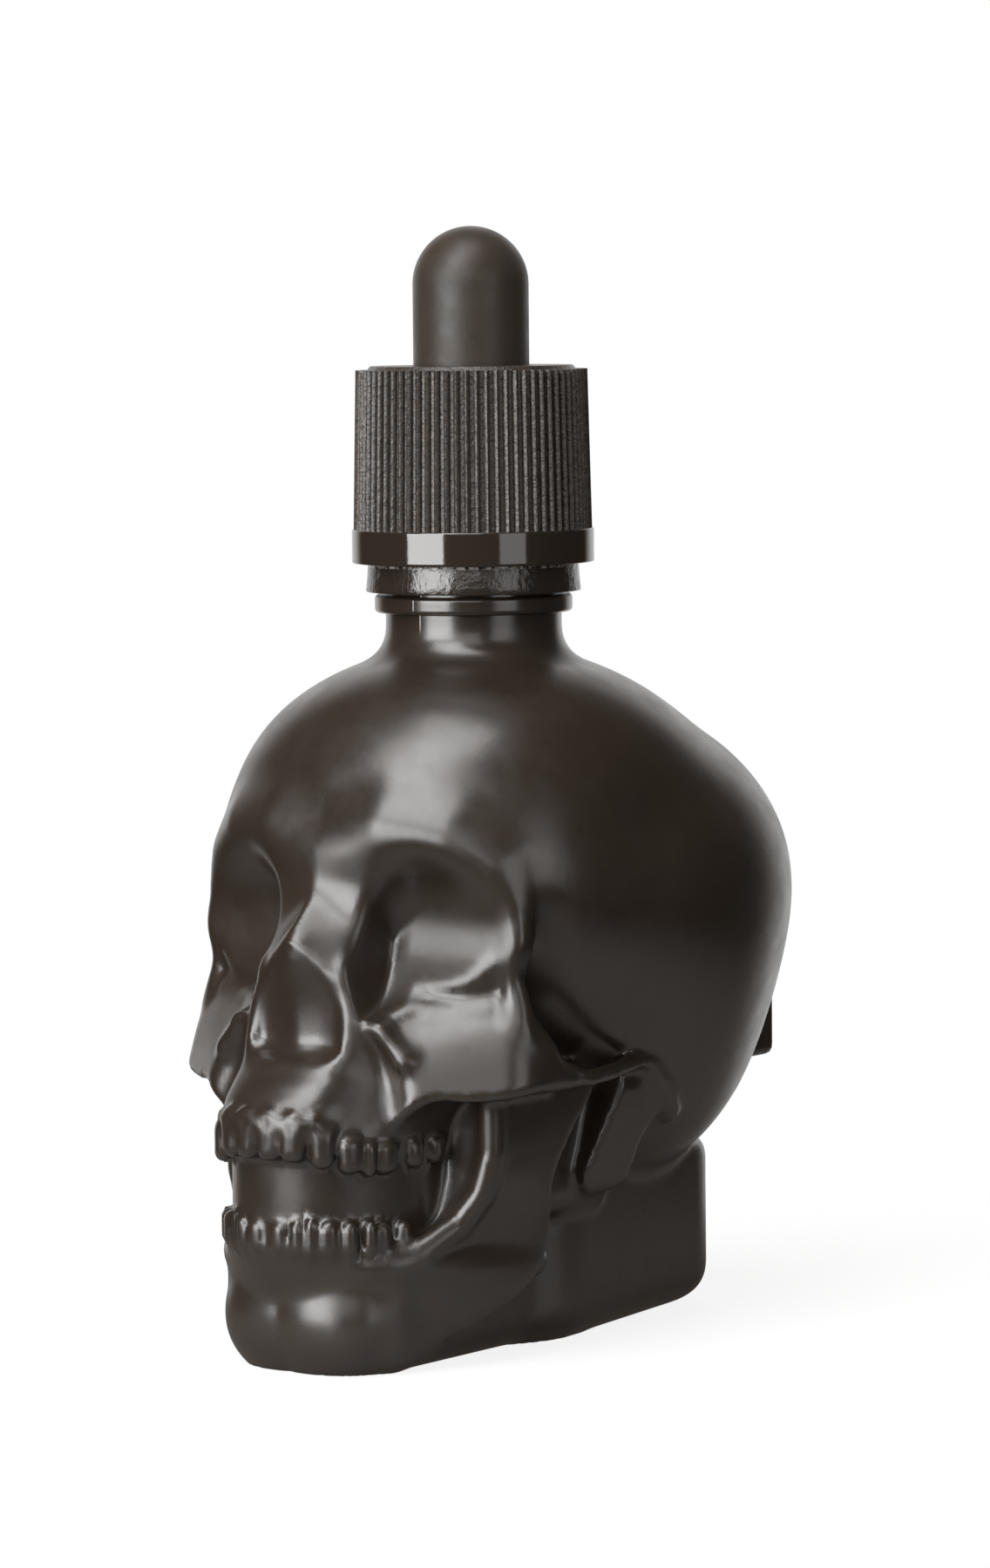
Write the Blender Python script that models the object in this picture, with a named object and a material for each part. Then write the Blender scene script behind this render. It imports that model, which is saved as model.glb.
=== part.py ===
# A skull-shaped glass bottle with a child-resistant dropper closure.
# The skull stands on its chin and on a block behind its jaw, and looks along -Y.
# The neck's axis is the Z axis, and the table is z = 0.
# Lengths below are in millimetres. Every mesh is brought to metres as it is made.
import math

import bmesh
import bpy
import numpy as np

MM = 0.001
TINY = 1e-6
ARCH_POINTS = 400
GAP = 0.3                      # clearance between pieces that touch
CUT_PAST = 2.0                 # how far a cutter runs past what it cuts
OVERLAP = 0.4                  # how deep one solid starts inside another that it is joined with

# How wide two shapes of the skull are filled in where they meet
CRISP = 0.5
FIRM = 1.0
SOFT = 2.0
BROAD = 4.0
FOREHEAD_BLEND = 9.0
OCCIPUT_BLEND = 8.0

# The glass
WALL = 2.4                     # thinnest wall round the hollow
WALL_EXTRA = 0.6               # more than that round the brain case
FLOOR_THICKNESS = 3.2
BORE_RADIUS = 5.5              # the hole through the neck
NECK_RADIUS = 8.9
NECK_FILLET = 2.95             # where the neck runs into the crown
BEAD_RADIUS = 10.0             # the bead that the bottle is carried by in filling
BEAD_BOTTOM = 73.2
BEAD_THICKNESS = 1.8
BEAD_ROUNDING = 0.7
LOCKING_BEAD_RADIUS = 9.5      # holds the tamper ring down
LOCKING_BEAD_HEIGHT = 1.1
LOCKING_BEAD_EDGE = 0.4
FINISH_RADIUS = 8.0            # root of the bottle's thread
RIM_HEIGHT = 91.3
RIM_ROUNDING = 0.5

# The screw thread
THREAD_PITCH = 3.0
THREAD_DEPTH = 0.95
THREAD_ROOT_WIDTH = 1.3
THREAD_CREST_WIDTH = 0.6
THREAD_DROP = 8.3              # from the rim to the middle of the thread where it starts
THREAD_CLEARANCE = 0.45        # from each crest to the wall it turns in
BOTTLE_THREAD_TURNS = 1.5
CAP_THREAD_TURNS = 1.25
THREAD_LEAD_IN = 40.0          # degrees over which a thread's end fades into its wall
THREAD_END_RISE = 0.15         # share of the thread's height left at its very end
THREAD_STEPS = 36              # per turn

# The tamper ring under the closure
RING_HEIGHT = 2.35
RING_TOP_RADIUS = 10.65
RING_BOTTOM_RADIUS = 10.87
RING_BORE_RADIUS = 9.0
RING_TO_SHELL = 0.55           # the slit that shows between the ring and the shell

# The threaded inner cap
INNER_CAP_WALL = 0.8
INNER_CAP_TOP_THICKNESS = 1.1
INNER_CAP_FLANGE_REACH = 0.95  # how far the flange stands out from the cap's side
INNER_CAP_FLANGE_HEIGHT = 1.0
INNER_CAP_CHAMFER = 0.4
INNER_CAP_ROUNDING = 0.5
INNER_CAP_LEAD_IN = 0.6

# The ribbed outer shell
SHELL_TOP_THICKNESS = 1.2
SHELL_SKIRT_WALL = 0.8
SHELL_SKIRT_HEIGHT = 3.8
SHELL_PLAY = 0.55              # between the shell's bore and the inner cap's side
SHELL_BORE_CHAMFER = 0.5
BAND_HEIGHT = 3.4
BAND_STEP = 0.1                # the band's upper edge is rounded by this much
BAND_DEPTH = 2.0
RIB_COUNT = 72
RIB_INSET = 0.2                # from the band's face in to the crests at the bottom of the ribs
RIB_DRAFT = 0.35               # the ribs lean in this much towards the top
RIB_DEPTH = 0.5
RIB_CREST_SHARE = 0.32         # of the pitch between ribs
RIB_ROOT_SHARE = 0.72
SNAP_LAP = 0.18                # the lip under the inner cap's flange that keeps the shell on
SNAP_BEAD_HEIGHT = 0.9
SNAP_BEAD_SLOPE = 0.3
OPENING_PLAY = 0.1

# The lugs that lock the shell to the inner cap when it is pressed down
PRESS_TRAVEL = 1.0
LUG_COUNT = 8
LUG_HEIGHT = 1.0
LUG_WIDTH = 1.3
LUG_FROM_OPENING = 0.75
LUG_FROM_SIDE = 0.5

# The rubber bulb
BULB_RADIUS = 5.85
BULB_RISE = 20.7               # from the glass rim to the bulb's top
BULB_WALL = 1.25
BULB_FLANGE_INSET = 0.4        # inside the glass rim's outer edge
BULB_FLANGE_THICKNESS = 1.5
BULB_SOCKET_STEP = 0.8
BULB_SIDES = 40

# The glass pipette
PIPETTE_RADIUS = 3.5
PIPETTE_BORE_RADIUS = 2.6
PIPETTE_RISE = 5.7             # from the glass rim to the pipette's top
PIPETTE_TIP = 11.0
PIPETTE_TIP_RADIUS = 1.7
PIPETTE_TIP_BORE_RADIUS = 0.8
PIPETTE_TIP_LENGTH = 3.0
PIPETTE_TAPER_LENGTH = 14.0
PIPETTE_SIDES = 32

# How fine the meshes are
SKULL_STEP = 0.75              # grid that the skull's skin is found on
SKIN_MARGIN = 2.0              # how far that grid runs past the skull
SKULL_TRIANGLES = 6800
PINCH_FILL = 0.02              # how far inside a filled grid corner lies
SETTLE_ROUNDS = 2
BASE_TRIM = 0.15               # what is cut off the skin to leave a flat base
ROUND_SIDES = 48
SHARP_ANGLE = 30.0             # degrees from which a turned edge stays sharp

# Places on the skull. x is the distance from the middle plane, and each swelling
# is (middle, half sizes). The skull is the same on both sides.
CROWN = ((0, 6.95, 45.7), (26.7, 29.6, 20.05))
FOREHEAD = ((0, -11.4, 49.6), (20.05, 12.2, 15.5))
OCCIPUT = ((0, 12.4, 34.5), (21.0, 24.5, 22.85))
SHOULDER = ((0, 0, 56.3), (22.0, 22.0, 13.7))
BROW = ((0, -21.6, 50.4), (6.5, -21.8, 52.9), (12.0, -19.8, 52.0), (15.6, -18.2, 49.0), (17.4, -17.8, 45.5),
        (18.1, -17.9, 42.5))
BROW_RADII = (2.6, 2.6, 2.4, 1.9, 1.3, 1.0)

# The eye hollow is a scoop along X: (y, z) of its middle, its reach, and its half heights up and down
EYE_MIDDLE = (-28.6, 44.1)
EYE_REACH = 9.1
EYE_OUTER_SIDE = 17.0          # x of its outer rim
EYE_DRAFT = 0.08               # how much its back comes forward per millimetre on the way in
EYE_HALF_HEIGHTS = (8.4, 9.3)
EYE_DROOP = 0.05               # fall of the eye hollow per millimetre sideways
EYE_INNER_WALL = 5.3           # x of its inner wall where the wall comes nearest to the nose
EYE_INNER_WALL_HEIGHT = 42.5
EYE_INNER_WALL_BOW = 0.032
EYE_INNER_WALL_SLANT = 0.03
EYE_RIM_HEIGHTS = (37, 42, 47, 51)
EYE_RIM_ROUNDINGS = (0.6, 0.9, 1.4, 2.0)
EYE_CREASE_HEIGHTS = (38, 42, 44.5, 49)
EYE_CREASE_ROUNDINGS = (0.6, 0.5, 3.0, 5.5)

# The temple's hollow lies in front of an edge that falls from the brow to the ear
TEMPLE_FRONT = -17.7
TEMPLE_DEPTH = 13.8
TEMPLE_EDGE_X = 18.8
TEMPLE_SLANT = 1.05
TEMPLE_HEIGHTS = (27, 29, 31.2, 33.9, 37.6, 41.3, 44.9, 48)
TEMPLE_EDGES = (4.0, -0.1, -3.7, -7.2, -11.5, -14.7, -16.7, -18.3)

# The cheek
CHEEK_FACES = (((0.56, -0.79, 0.25), 35.4), ((0.275, -0.612, 0.742), 43.6), ((1, 0.05, 0.15), 25.3),
               ((-0.6, -0.8, 0), 15.3))     # each flat: the way it faces, and how far out it lies
CHEEK_EDGES = 2.4
CHEEK_BACK = -11.5
CHEEK_TOP_FRONT = -18.5        # where the cheekbone's upper edge leaves the rim of the eye
CHEEK_TOP_Y = (-19, -18.2, -16.5, -13.5, -11.5)
CHEEK_TOP = (35.4, 33.4, 31.4, 30.3, 29.6)
CHEEK_UNDERSIDE_X = (9, 11, 14, 17, 20, 22)
CHEEK_UNDERSIDE = (24.3, 25.0, 27.0, 27.0, 27.3, 28.0)
CHEEK_PILLAR = ((18.1, -18.0, 43.0), (18.4, -18.2, 38.5), (19.0, -17.6, 34.5), (19.8, -15.6, 31.5))
CHEEK_PILLAR_RADII = (0.9, 1.0, 1.3, 1.5)
CHEEK_ARCH = ((19.9, -15.5, 29.2), (20.8, -12.5, 28.7), (20.7, -9.0, 28.1), (20.1, -4.8, 28.2),
              (19.7, -1.0, 28.6), (19.1, 3.0, 27.9), (18.3, 6.4, 25.6), (17.4, 8.8, 22.6))
CHEEK_ARCH_RADII = (1.6, 1.0, 0.8, 0.8, 0.8, 0.9, 1.0, 1.1)
EYE_LOWER_RIM = ((16.0, -18.9, 35.6), (12.5, -20.9, 34.9), (9.6, -22.8, 35.1),
                 (7.2, -25.2, 37.0), (5.3, -27.0, 39.4))
EYE_LOWER_RIM_RADII = (1.4, 1.2, 1.0, 0.8, 0.6)
FACE_RIDGE = ((5.6, -26.9, 39.4), (7.0, -27.2, 36.6), (9.4, -27.0, 33.0), (10.9, -26.6, 31.0))
FACE_RIDGE_RADII = (0.5, 0.8, 0.9, 0.8)
SOCKET_BACK = ((10.5, -16.2, 41.0), (8.2, 6.0, 8.5))

# The nose
NOSE_HEIGHTS = (30, 33, 37, 41, 42.4, 45, 48.5, 52)
NOSE_FRONTS = (-30.4, -30.5, -30.7, -30.9, -30.4, -28.0, -25.2, -24.6)
NOSE_HALF_WIDTHS = (10.4, 9.8, 9.0, 8.2, 7.8, 7.2, 7.0, 7.0)
NOSE_SQUARENESS = (2.3, 2.2, 1.8, 1.4, 1.25, 1.15, 1.15, 1.2)
NOSE_BACK = -16.0
NOSE_OPENING_HEIGHTS = (30.2, 31.2, 33.3, 37, 39.2, 40.9, 42.2)
NOSE_OPENING_HALF_WIDTHS = (4.2, 5.0, 5.2, 4.5, 3.1, 1.6, -0.2)
NOSE_OPENING_FLOOR = 31.0
NOSE_WALL_HEIGHTS = (30, 33, 37, 41)
NOSE_WALLS = (-28.6, -28.4, -28.6, -29.6)
NOSE_PARTITION = (0.6, 2.0)    # how far the wall's middle ridge stands out, and its half width
CANINE_HOLLOW = ((9.6, -31.6, 29.2), (1.9, 3.6, 5.0))
CANINE_LEAN = -14

# Behind the cheek: the mastoid, the ear and the rising part of the jaw, whose edges change with height
MASTOID_HEIGHTS = (14.5, 16, 17.5, 20, 23.7, 27, 31)
MASTOID_FRONTS = (-1.5, -3.2, -3.8, -3.0, -1.7, -0.5, 1.0)
MASTOID_BACKS = (1.5, 3.6, 4.2, 4.8, 7.6, 11.0, 13.0)
MASTOID_SIDES = (14.8, 16.0, 16.5, 17.2, 18.2, 18.9, 19.0)
MASTOID_BOTTOM = 15.0
MASTOID_INSIDE = 8.0
EAR_PIT = ((20.4, 1.0, 26.9), (1.9, 2.3, 1.2))
RAMUS_HEIGHTS = (6.5, 8, 12, 14.6, 17.5, 21.5, 26.5, 30)
RAMUS_FRONTS = (-20.0, -21.5, -24.0, -20.9, -19.5, -18.9, -18.8, -18.8)
RAMUS_FRONT_SIDES = (13.4, 13.0, 12.4, 14.2, 16.0, 16.7, 16.8, 17.0)
RAMUS_BACKS = (-13.6, -12.3, -10.3, -10.1, -10.0, -8.2, -4.8, -3.6)
RAMUS_BACK_SIDES = (15.8, 16.4, 17.0, 17.1, 17.3, 17.8, 18.5, 18.8)
RAMUS_TOP = 29.0
RAMUS_INSIDE = 10.0
RAMUS_LOWER_EDGE = ((-24, -12, -10), (2.5, 6.5, 9.0))
RAMUS_RIDGE = ((16.2, -19.0, 27.5), (16.2, -19.0, 21.5), (15.3, -19.7, 17.5),
               (13.4, -20.8, 14.6), (11.4, -24.6, 12.0), (8.6, -27.8, 10.5), (5.6, -29.8, 9.6))
RAMUS_RIDGE_RADII = (1.1, 1.1, 1.1, 1.2, 1.2, 1.0, 0.7)
NAPE = ((8.0, -4.0, 22.0), (6.6, 8.5, 9.0))    # the plain wall between the jaw and the mastoid
BACK_PAD = ((0, 32.8, 28.9), (9.8, 6.2, 4.3))

# The block behind the jaw, and the plinth between it and the chin
BLOCK_FRONT = -5.4
BLOCK_BACK = 30.2
BLOCK_HALF_WIDTH = 14.0        # at its front
BLOCK_TAPER = 0.142            # half width lost per millimetre towards the back
BLOCK_TOP = 17.8
BLOCK_ROUNDING = 3.0
BLOCK_FOOT_ROUNDING = 4.2
PLINTH = ((0, -13.5, 7.0), (11.0, 14.8, 7.0))

# The jaws are upright walls, round at the front, whose reach changes with height
JAW_HEIGHTS = (-1, 1.5, 5, 8.5, 11, 15)
JAW_FRONTS = (-29.4, -30.6, -31.4, -31.8, -32.9, -34.4)
JAW_HALF_WIDTHS = (13.8, 15.0, 15.8, 16.0, 15.6, 12.4)
JAW_SQUARENESS = (1.8, 1.85, 1.95, 2.1, 2.3, 2.3)
JAW_MIDDLE = -9.0
JAW_BACK = -8.5
JAW_TOP = 12.2
JAW_LOWER_EDGE = ((-26, -0.5), (-12, 7.8))     # (y, z) at the chin and at the corner of the jaw
CHIN = ((3.4, -27.4, 4.4), (6.0, 4.6, 5.2))
MUZZLE_HEIGHTS = (20, 22, 24.5, 26.5, 28.5, 30, 33, 37, 42, 48)
MUZZLE_FRONTS = (-34.4, -34.7, -35.3, -34.9, -33.5, -32.0, -30.4, -29.4, -27.3, -24.5)
MUZZLE_HALF_WIDTHS = (10.6, 10.7, 11.2, 11.0, 10.6, 10.4, 9.8, 9.2, 8.6, 8.0)
MUZZLE_MIDDLE = -19.0
MUZZLE_BOTTOM = 21.9
MOUTH_WALL = (10.4, -34.0)     # half width and front of the wall between the rows of teeth

# Each tooth: its bottom and top, and where it starts and ends along the row from the middle
UPPER_TEETH = ((21.5, 25.0, 0.1, 2.8), (21.4, 24.9, 2.9, 5.5), (20.8, 24.7, 6.2, 8.6),
               (20.2, 23.9, 9.2, 11.6), (19.8, 23.4, 11.8, 13.1), (19.9, 23.3, 13.2, 15.7),
               (20.2, 23.2, 17.0, 19.2), (20.3, 23.2, 19.9, 22.4))
LOWER_TEETH = ((12.2, 15.5, 0.4, 2.6), (12.2, 15.6, 2.8, 4.4), (12.0, 15.9, 4.5, 5.8),
               (12.0, 15.7, 5.9, 8.1), (12.1, 15.6, 8.4, 10.1), (12.2, 15.5, 10.8, 12.0),
               (12.3, 15.3, 12.1, 13.7), (12.6, 15.2, 14.5, 16.3))
UPPER_ARCH = (11.6, -35.9, -19.0, 2.3)    # half width, front, middle and squareness of the row's outer line
LOWER_ARCH = (11.7, -34.5, -19.0, 2.3)
TOOTH_DEPTH = 1.5
TOOTH_ROUNDING = 0.95
TOOTH_TAPER = 0.09             # share of its width that a tooth gains from its middle to its root
GUM_HEIGHTS = (11.2, 13.4, 22.9, 25.0)
GUM_BLENDS = (1.5, 0.3, 0.3, 1.3)         # how softly the teeth grow out of the gums at those heights
# The gum above the upper front teeth: distance along the row, and height
UPPER_GUM = ((0.0, 25.3), (0.7, 25.9), (1.6, 26.1), (2.5, 25.6), (3.0, 25.3), (4.3, 25.9), (5.6, 25.3),
             (6.4, 25.4))
GUM_DEPTH = 0.65               # how far its middle lies behind the row's outer line
GUM_RADIUS = 0.42

# Ends and joins of the face's walls
NOSE_MIDDLE = -20.0
EYE_WALL_FRONT = -26.0
MUZZLE_TOP = 50.0
MUZZLE_BACK = -2.0
MOUTH_WALL_HEIGHTS = (6.0, 27.0)
MOULD_SQUARENESS = 2.2
JAW_EDGES = 2.5
RAMUS_RIDGE_BLEND = 1.5
NOSE_RIM = 1.5
FACE_RIDGE_BLEND = 1.6
CANINE_BLEND = 2.5
BLOCK_CORNERS = 6.0
NECK_FOOT = 0.4                # the plain neck ends this far under the bead's top

# The hollow, besides the brain case drawn in by the wall
FACE_HOLLOW = ((0, -16, 18), (8, 12.5, 13))
BLOCK_HOLLOW_INSET = 6.0
BLOCK_HOLLOW_SHIFT = 3.0
HOLLOW_ROUNDING = 4.0
HOLLOW_BLEND = 6.0

# Sizes that follow from the ones above
BEAD_TOP = BEAD_BOTTOM + BEAD_THICKNESS
RING_TOP = BEAD_TOP + GAP + RING_HEIGHT
LOCKING_BEAD_BOTTOM = RING_TOP + GAP
THREAD_START = RIM_HEIGHT - THREAD_DROP
CAP_THREAD_CREST_RADIUS = FINISH_RADIUS + THREAD_CLEARANCE
INNER_CAP_BORE_RADIUS = FINISH_RADIUS + THREAD_DEPTH + THREAD_CLEARANCE
INNER_CAP_RADIUS = INNER_CAP_BORE_RADIUS + INNER_CAP_WALL
INNER_CAP_FLANGE_RADIUS = INNER_CAP_RADIUS + INNER_CAP_FLANGE_REACH
SHELL_BORE_RADIUS = INNER_CAP_RADIUS + SHELL_PLAY
SHELL_SKIRT_BORE_RADIUS = INNER_CAP_FLANGE_RADIUS + GAP
SNAP_BEAD_RADIUS = INNER_CAP_FLANGE_RADIUS - SNAP_LAP
BAND_RADIUS = SHELL_SKIRT_BORE_RADIUS + SHELL_SKIRT_WALL
RIB_CREST_RADIUS = BAND_RADIUS - RIB_INSET
RIB_CREST_RADIUS_TOP = RIB_CREST_RADIUS - RIB_DRAFT
LUG_INNER_RADIUS = BULB_RADIUS + GAP + LUG_FROM_OPENING
LUG_OUTER_RADIUS = INNER_CAP_RADIUS - LUG_FROM_SIDE
BULB_TOP = RIM_HEIGHT + BULB_RISE
BULB_FLANGE_RADIUS = FINISH_RADIUS - BULB_FLANGE_INSET
BULB_FLANGE_BOTTOM = RIM_HEIGHT + GAP
BULB_FLANGE_TOP = BULB_FLANGE_BOTTOM + BULB_FLANGE_THICKNESS
PIPETTE_TOP = RIM_HEIGHT + PIPETTE_RISE
BULB_SOCKET_TOP = PIPETTE_TOP + 2 * GAP
SHELL_BOTTOM = RING_TOP + RING_TO_SHELL
INNER_CAP_BOTTOM = SHELL_BOTTOM + SNAP_BEAD_HEIGHT + GAP
INNER_CAP_CEILING = BULB_FLANGE_TOP + GAP
INNER_CAP_TOP = INNER_CAP_CEILING + INNER_CAP_TOP_THICKNESS
SHELL_CEILING = INNER_CAP_TOP + LUG_HEIGHT + PRESS_TRAVEL + GAP
SHELL_TOP = SHELL_CEILING + SHELL_TOP_THICKNESS


def new_material(name, colour, roughness, metallic=0.0):
    material = bpy.data.materials.new(name)
    material.use_nodes = True
    finish = material.node_tree.nodes["Principled BSDF"]
    finish.inputs["Base Color"].default_value = (*colour, 1)
    finish.inputs["Roughness"].default_value = roughness
    finish.inputs["Metallic"].default_value = metallic
    return material


def new_object(name, points, faces, material=None):
    """A mesh object from points in millimetres."""
    mesh = bpy.data.meshes.new(name)
    mesh.from_pydata([[c * MM for c in point] for point in points], [], faces)
    if material:
        mesh.materials.append(material)
    made = bpy.data.objects.new(name, mesh)
    bpy.context.scene.collection.objects.link(made)
    return made


def new_box(name, low, high):
    points = [(x, y, z) for z in (low[2], high[2]) for y in (low[1], high[1]) for x in (low[0], high[0])]
    faces = [(0, 2, 3, 1), (4, 5, 7, 6), (0, 1, 5, 4), (2, 6, 7, 3), (0, 4, 6, 2), (1, 3, 7, 5)]
    return new_object(name, points, faces)


def as_cutter(made):
    made.hide_render = True
    made.display_type = "WIRE"
    return made


def combine(made, operation, other):
    step = made.modifiers.new(operation.title() + " " + other.name, "BOOLEAN")
    step.operation = operation
    step.object = other


# Clay forms. Each gives the distance of points (x, y, z) outside one shape, negative inside it.


def ball(p, centre, radii, lean=0.0):
    """An egg of three half sizes. lean turns it about X in degrees, its top towards -Y."""
    x, y, z = (a - c for a, c in zip(p, centre))
    s, c = math.sin(math.radians(lean)), math.cos(math.radians(lean))
    turned = (x, y * c + z * s, z * c - y * s)
    share = [a / r for a, r in zip(turned, radii)]
    size = np.sqrt(sum(a * a for a in share)) + TINY
    slope = np.sqrt(sum((a / r) ** 2 for a, r in zip(share, radii))) + TINY
    return size * (size - 1) / slope


def limb(p, start, end, start_radius, end_radius):
    """A rounded bar that tapers from one end to the other."""
    along = np.subtract(end, start)
    from_start = [a - s for a, s in zip(p, start)]
    t = np.clip(sum(a * b for a, b in zip(from_start, along)) / (along @ along), 0, 1)
    gap = np.sqrt(sum((a - t * b) ** 2 for a, b in zip(from_start, along)))
    return gap - (start_radius + t * (end_radius - start_radius))


def ridge(p, points, radii):
    """Rounded bars end to end through the points."""
    pieces = [limb(p, *ends) for ends in zip(points, points[1:], radii, radii[1:])]
    return np.minimum.reduce(pieces)


def box(p, centre, half, rounding):
    beyond = [np.abs(a - c) - (h - rounding) for a, c, h in zip(p, centre, half)]
    outside = np.sqrt(sum(np.maximum(a, 0) ** 2 for a in beyond))
    inside = np.minimum(np.maximum(np.maximum(beyond[0], beyond[1]), beyond[2]), 0)
    return outside + inside - rounding


def horseshoe(p, half_width, front, middle, power=2.3):
    """An upright wall, round in front of middle and straight behind it."""
    x, y, _ = p
    ahead = np.maximum(middle - y, 0)
    reach = np.sqrt(x * x + ahead * ahead) + TINY
    share = ((x / half_width) ** power + (ahead / (middle - front)) ** power) ** (1 / power)
    return reach * (1 - 1 / (share + TINY))


def by_height(z, heights, values):
    """A smooth curve through the values, level beyond its ends."""
    heights, values = np.array(heights, float), np.array(values, float)
    slopes = np.gradient(values, heights)
    i = np.clip(np.searchsorted(heights, z) - 1, 0, len(heights) - 2)
    span = heights[i + 1] - heights[i]
    t = np.clip((z - heights[i]) / span, 0, 1)
    start, end = values[i], values[i + 1]
    bend_start = slopes[i] * span - (end - start)
    bend_end = (end - start) - slopes[i + 1] * span
    made = start + t * (end - start) + t * (1 - t) * ((1 - t) * bend_start + t * bend_end)
    return made.astype(z.dtype)


def join(a, b, blend):
    """Both shapes, filled in over this width where they meet."""
    near = np.maximum(blend - np.abs(a - b), 0) / blend
    return np.minimum(a, b) - near * near * blend / 4


def keep(a, b, blend):
    """Only what lies in both shapes."""
    return -join(-a, -b, blend)


def carve(a, b, blend):
    """The first shape without the second."""
    return -join(-a, b, blend)


# The skull's features


def cranium(p):
    made = join(ball(p, *CROWN), ball(p, *FOREHEAD), FOREHEAD_BLEND)
    made = join(made, ball(p, *OCCIPUT), OCCIPUT_BLEND)
    return join(made, ball(p, *SHOULDER), BROAD)


def cheekbone(p):
    """The cheek's flats, with the rim of the eye along its top."""
    x, y, z = p
    made = y - CHEEK_BACK
    for (across, along, up), distance in CHEEK_FACES:
        steepness = math.sqrt(across ** 2 + along ** 2 + up ** 2)
        made = keep(made, (across * x + along * y + up * z - distance) / steepness, CHEEK_EDGES)
    made = keep(made, by_height(x, CHEEK_UNDERSIDE_X, CHEEK_UNDERSIDE) - z, FIRM)
    above = keep(CHEEK_TOP_FRONT - y, by_height(y, CHEEK_TOP_Y, CHEEK_TOP) - z, FIRM)
    made = carve(made, above, FIRM)
    made = join(made, ridge(p, CHEEK_PILLAR, CHEEK_PILLAR_RADII), SOFT)
    return join(made, ridge(p, EYE_LOWER_RIM, EYE_LOWER_RIM_RADII), FIRM)


def temple_hollow(p):
    """The hollow behind the rim of the eye, under the slanting edge of the brain case."""
    x, y, z = p
    edge = by_height(z, TEMPLE_HEIGHTS, TEMPLE_EDGES) - TEMPLE_SLANT * (TEMPLE_EDGE_X - x)
    made = keep((y - edge) / math.hypot(1, TEMPLE_SLANT), TEMPLE_FRONT - y, FIRM)
    return keep(made, TEMPLE_DEPTH - x, SOFT)


def brow(p):
    return ridge(p, BROW, BROW_RADII)


def eye_hollow(p):
    """A scoop straight in from the side, as the mould's halves part that way, with an upright inner wall."""
    x, y, z = p
    along, height = EYE_MIDDLE
    drooped = z + EYE_DROOP * (x - EYE_INNER_WALL) - height
    half_height = np.where(drooped > 0, *EYE_HALF_HEIGHTS)
    across = np.sqrt((y - along) ** 2 + drooped ** 2) + TINY
    reach = EYE_REACH - np.where(y > along, EYE_DRAFT * (EYE_OUTER_SIDE - x), 0)
    share = np.sqrt(((y - along) / reach) ** 2 + (drooped / half_height) ** 2) + TINY
    wall = EYE_INNER_WALL + EYE_INNER_WALL_BOW * (z - EYE_INNER_WALL_HEIGHT) ** 2
    wall = wall + EYE_INNER_WALL_SLANT * (y - EYE_WALL_FRONT)
    return keep(across * (1 - 1 / share), wall - x, by_height(z, EYE_CREASE_HEIGHTS, EYE_CREASE_ROUNDINGS))


def nose(p):
    z = p[2]
    half_width, front, power = (by_height(z, NOSE_HEIGHTS, values)
                                for values in (NOSE_HALF_WIDTHS, NOSE_FRONTS, NOSE_SQUARENESS))
    sides = horseshoe(p, half_width, front, NOSE_MIDDLE, power)
    sides = keep(sides, np.maximum(NOSE_HEIGHTS[0] - z, z - NOSE_HEIGHTS[-1]), SOFT)
    return keep(sides, p[1] - NOSE_BACK, SOFT)


def nose_opening(p):
    """A shallow opening with an upright ridge down the middle of its back wall."""
    x, y, z = p
    stand, half_width = NOSE_PARTITION
    wall = by_height(z, NOSE_WALL_HEIGHTS, NOSE_WALLS) - stand * np.exp(-(x / half_width) ** 2)
    made = keep(x - by_height(z, NOSE_OPENING_HEIGHTS, NOSE_OPENING_HALF_WIDTHS), y - wall, FIRM)
    return keep(made, NOSE_OPENING_FLOOR - z, SOFT)


def muzzle(p):
    _, y, z = p
    made = horseshoe(p, by_height(z, MUZZLE_HEIGHTS, MUZZLE_HALF_WIDTHS),
                     by_height(z, MUZZLE_HEIGHTS, MUZZLE_FRONTS), MUZZLE_MIDDLE, MOULD_SQUARENESS)
    made = keep(made, np.maximum(MUZZLE_BOTTOM - z, z - MUZZLE_TOP), FIRM)
    return keep(made, y - MUZZLE_BACK, FIRM)


def jaw(p):
    _, y, z = p
    made = horseshoe(p, by_height(z, JAW_HEIGHTS, JAW_HALF_WIDTHS), by_height(z, JAW_HEIGHTS, JAW_FRONTS),
                     JAW_MIDDLE, by_height(z, JAW_HEIGHTS, JAW_SQUARENESS))
    lower_edge = np.interp(y, *zip(*JAW_LOWER_EDGE)).astype(z.dtype)
    made = keep(made, np.maximum(lower_edge - z, z - JAW_TOP), JAW_EDGES)
    return keep(join(made, ball(p, *CHIN), BROAD), y - JAW_BACK, SOFT)


def mouth_wall(p):
    _, y, z = p
    bottom, top = MOUTH_WALL_HEIGHTS
    made = horseshoe(p, *MOUTH_WALL, MUZZLE_MIDDLE, MOULD_SQUARENESS)
    made = keep(made, np.maximum(bottom - z, z - top), FIRM)
    return keep(made, y - MUZZLE_BACK, FIRM)


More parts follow.
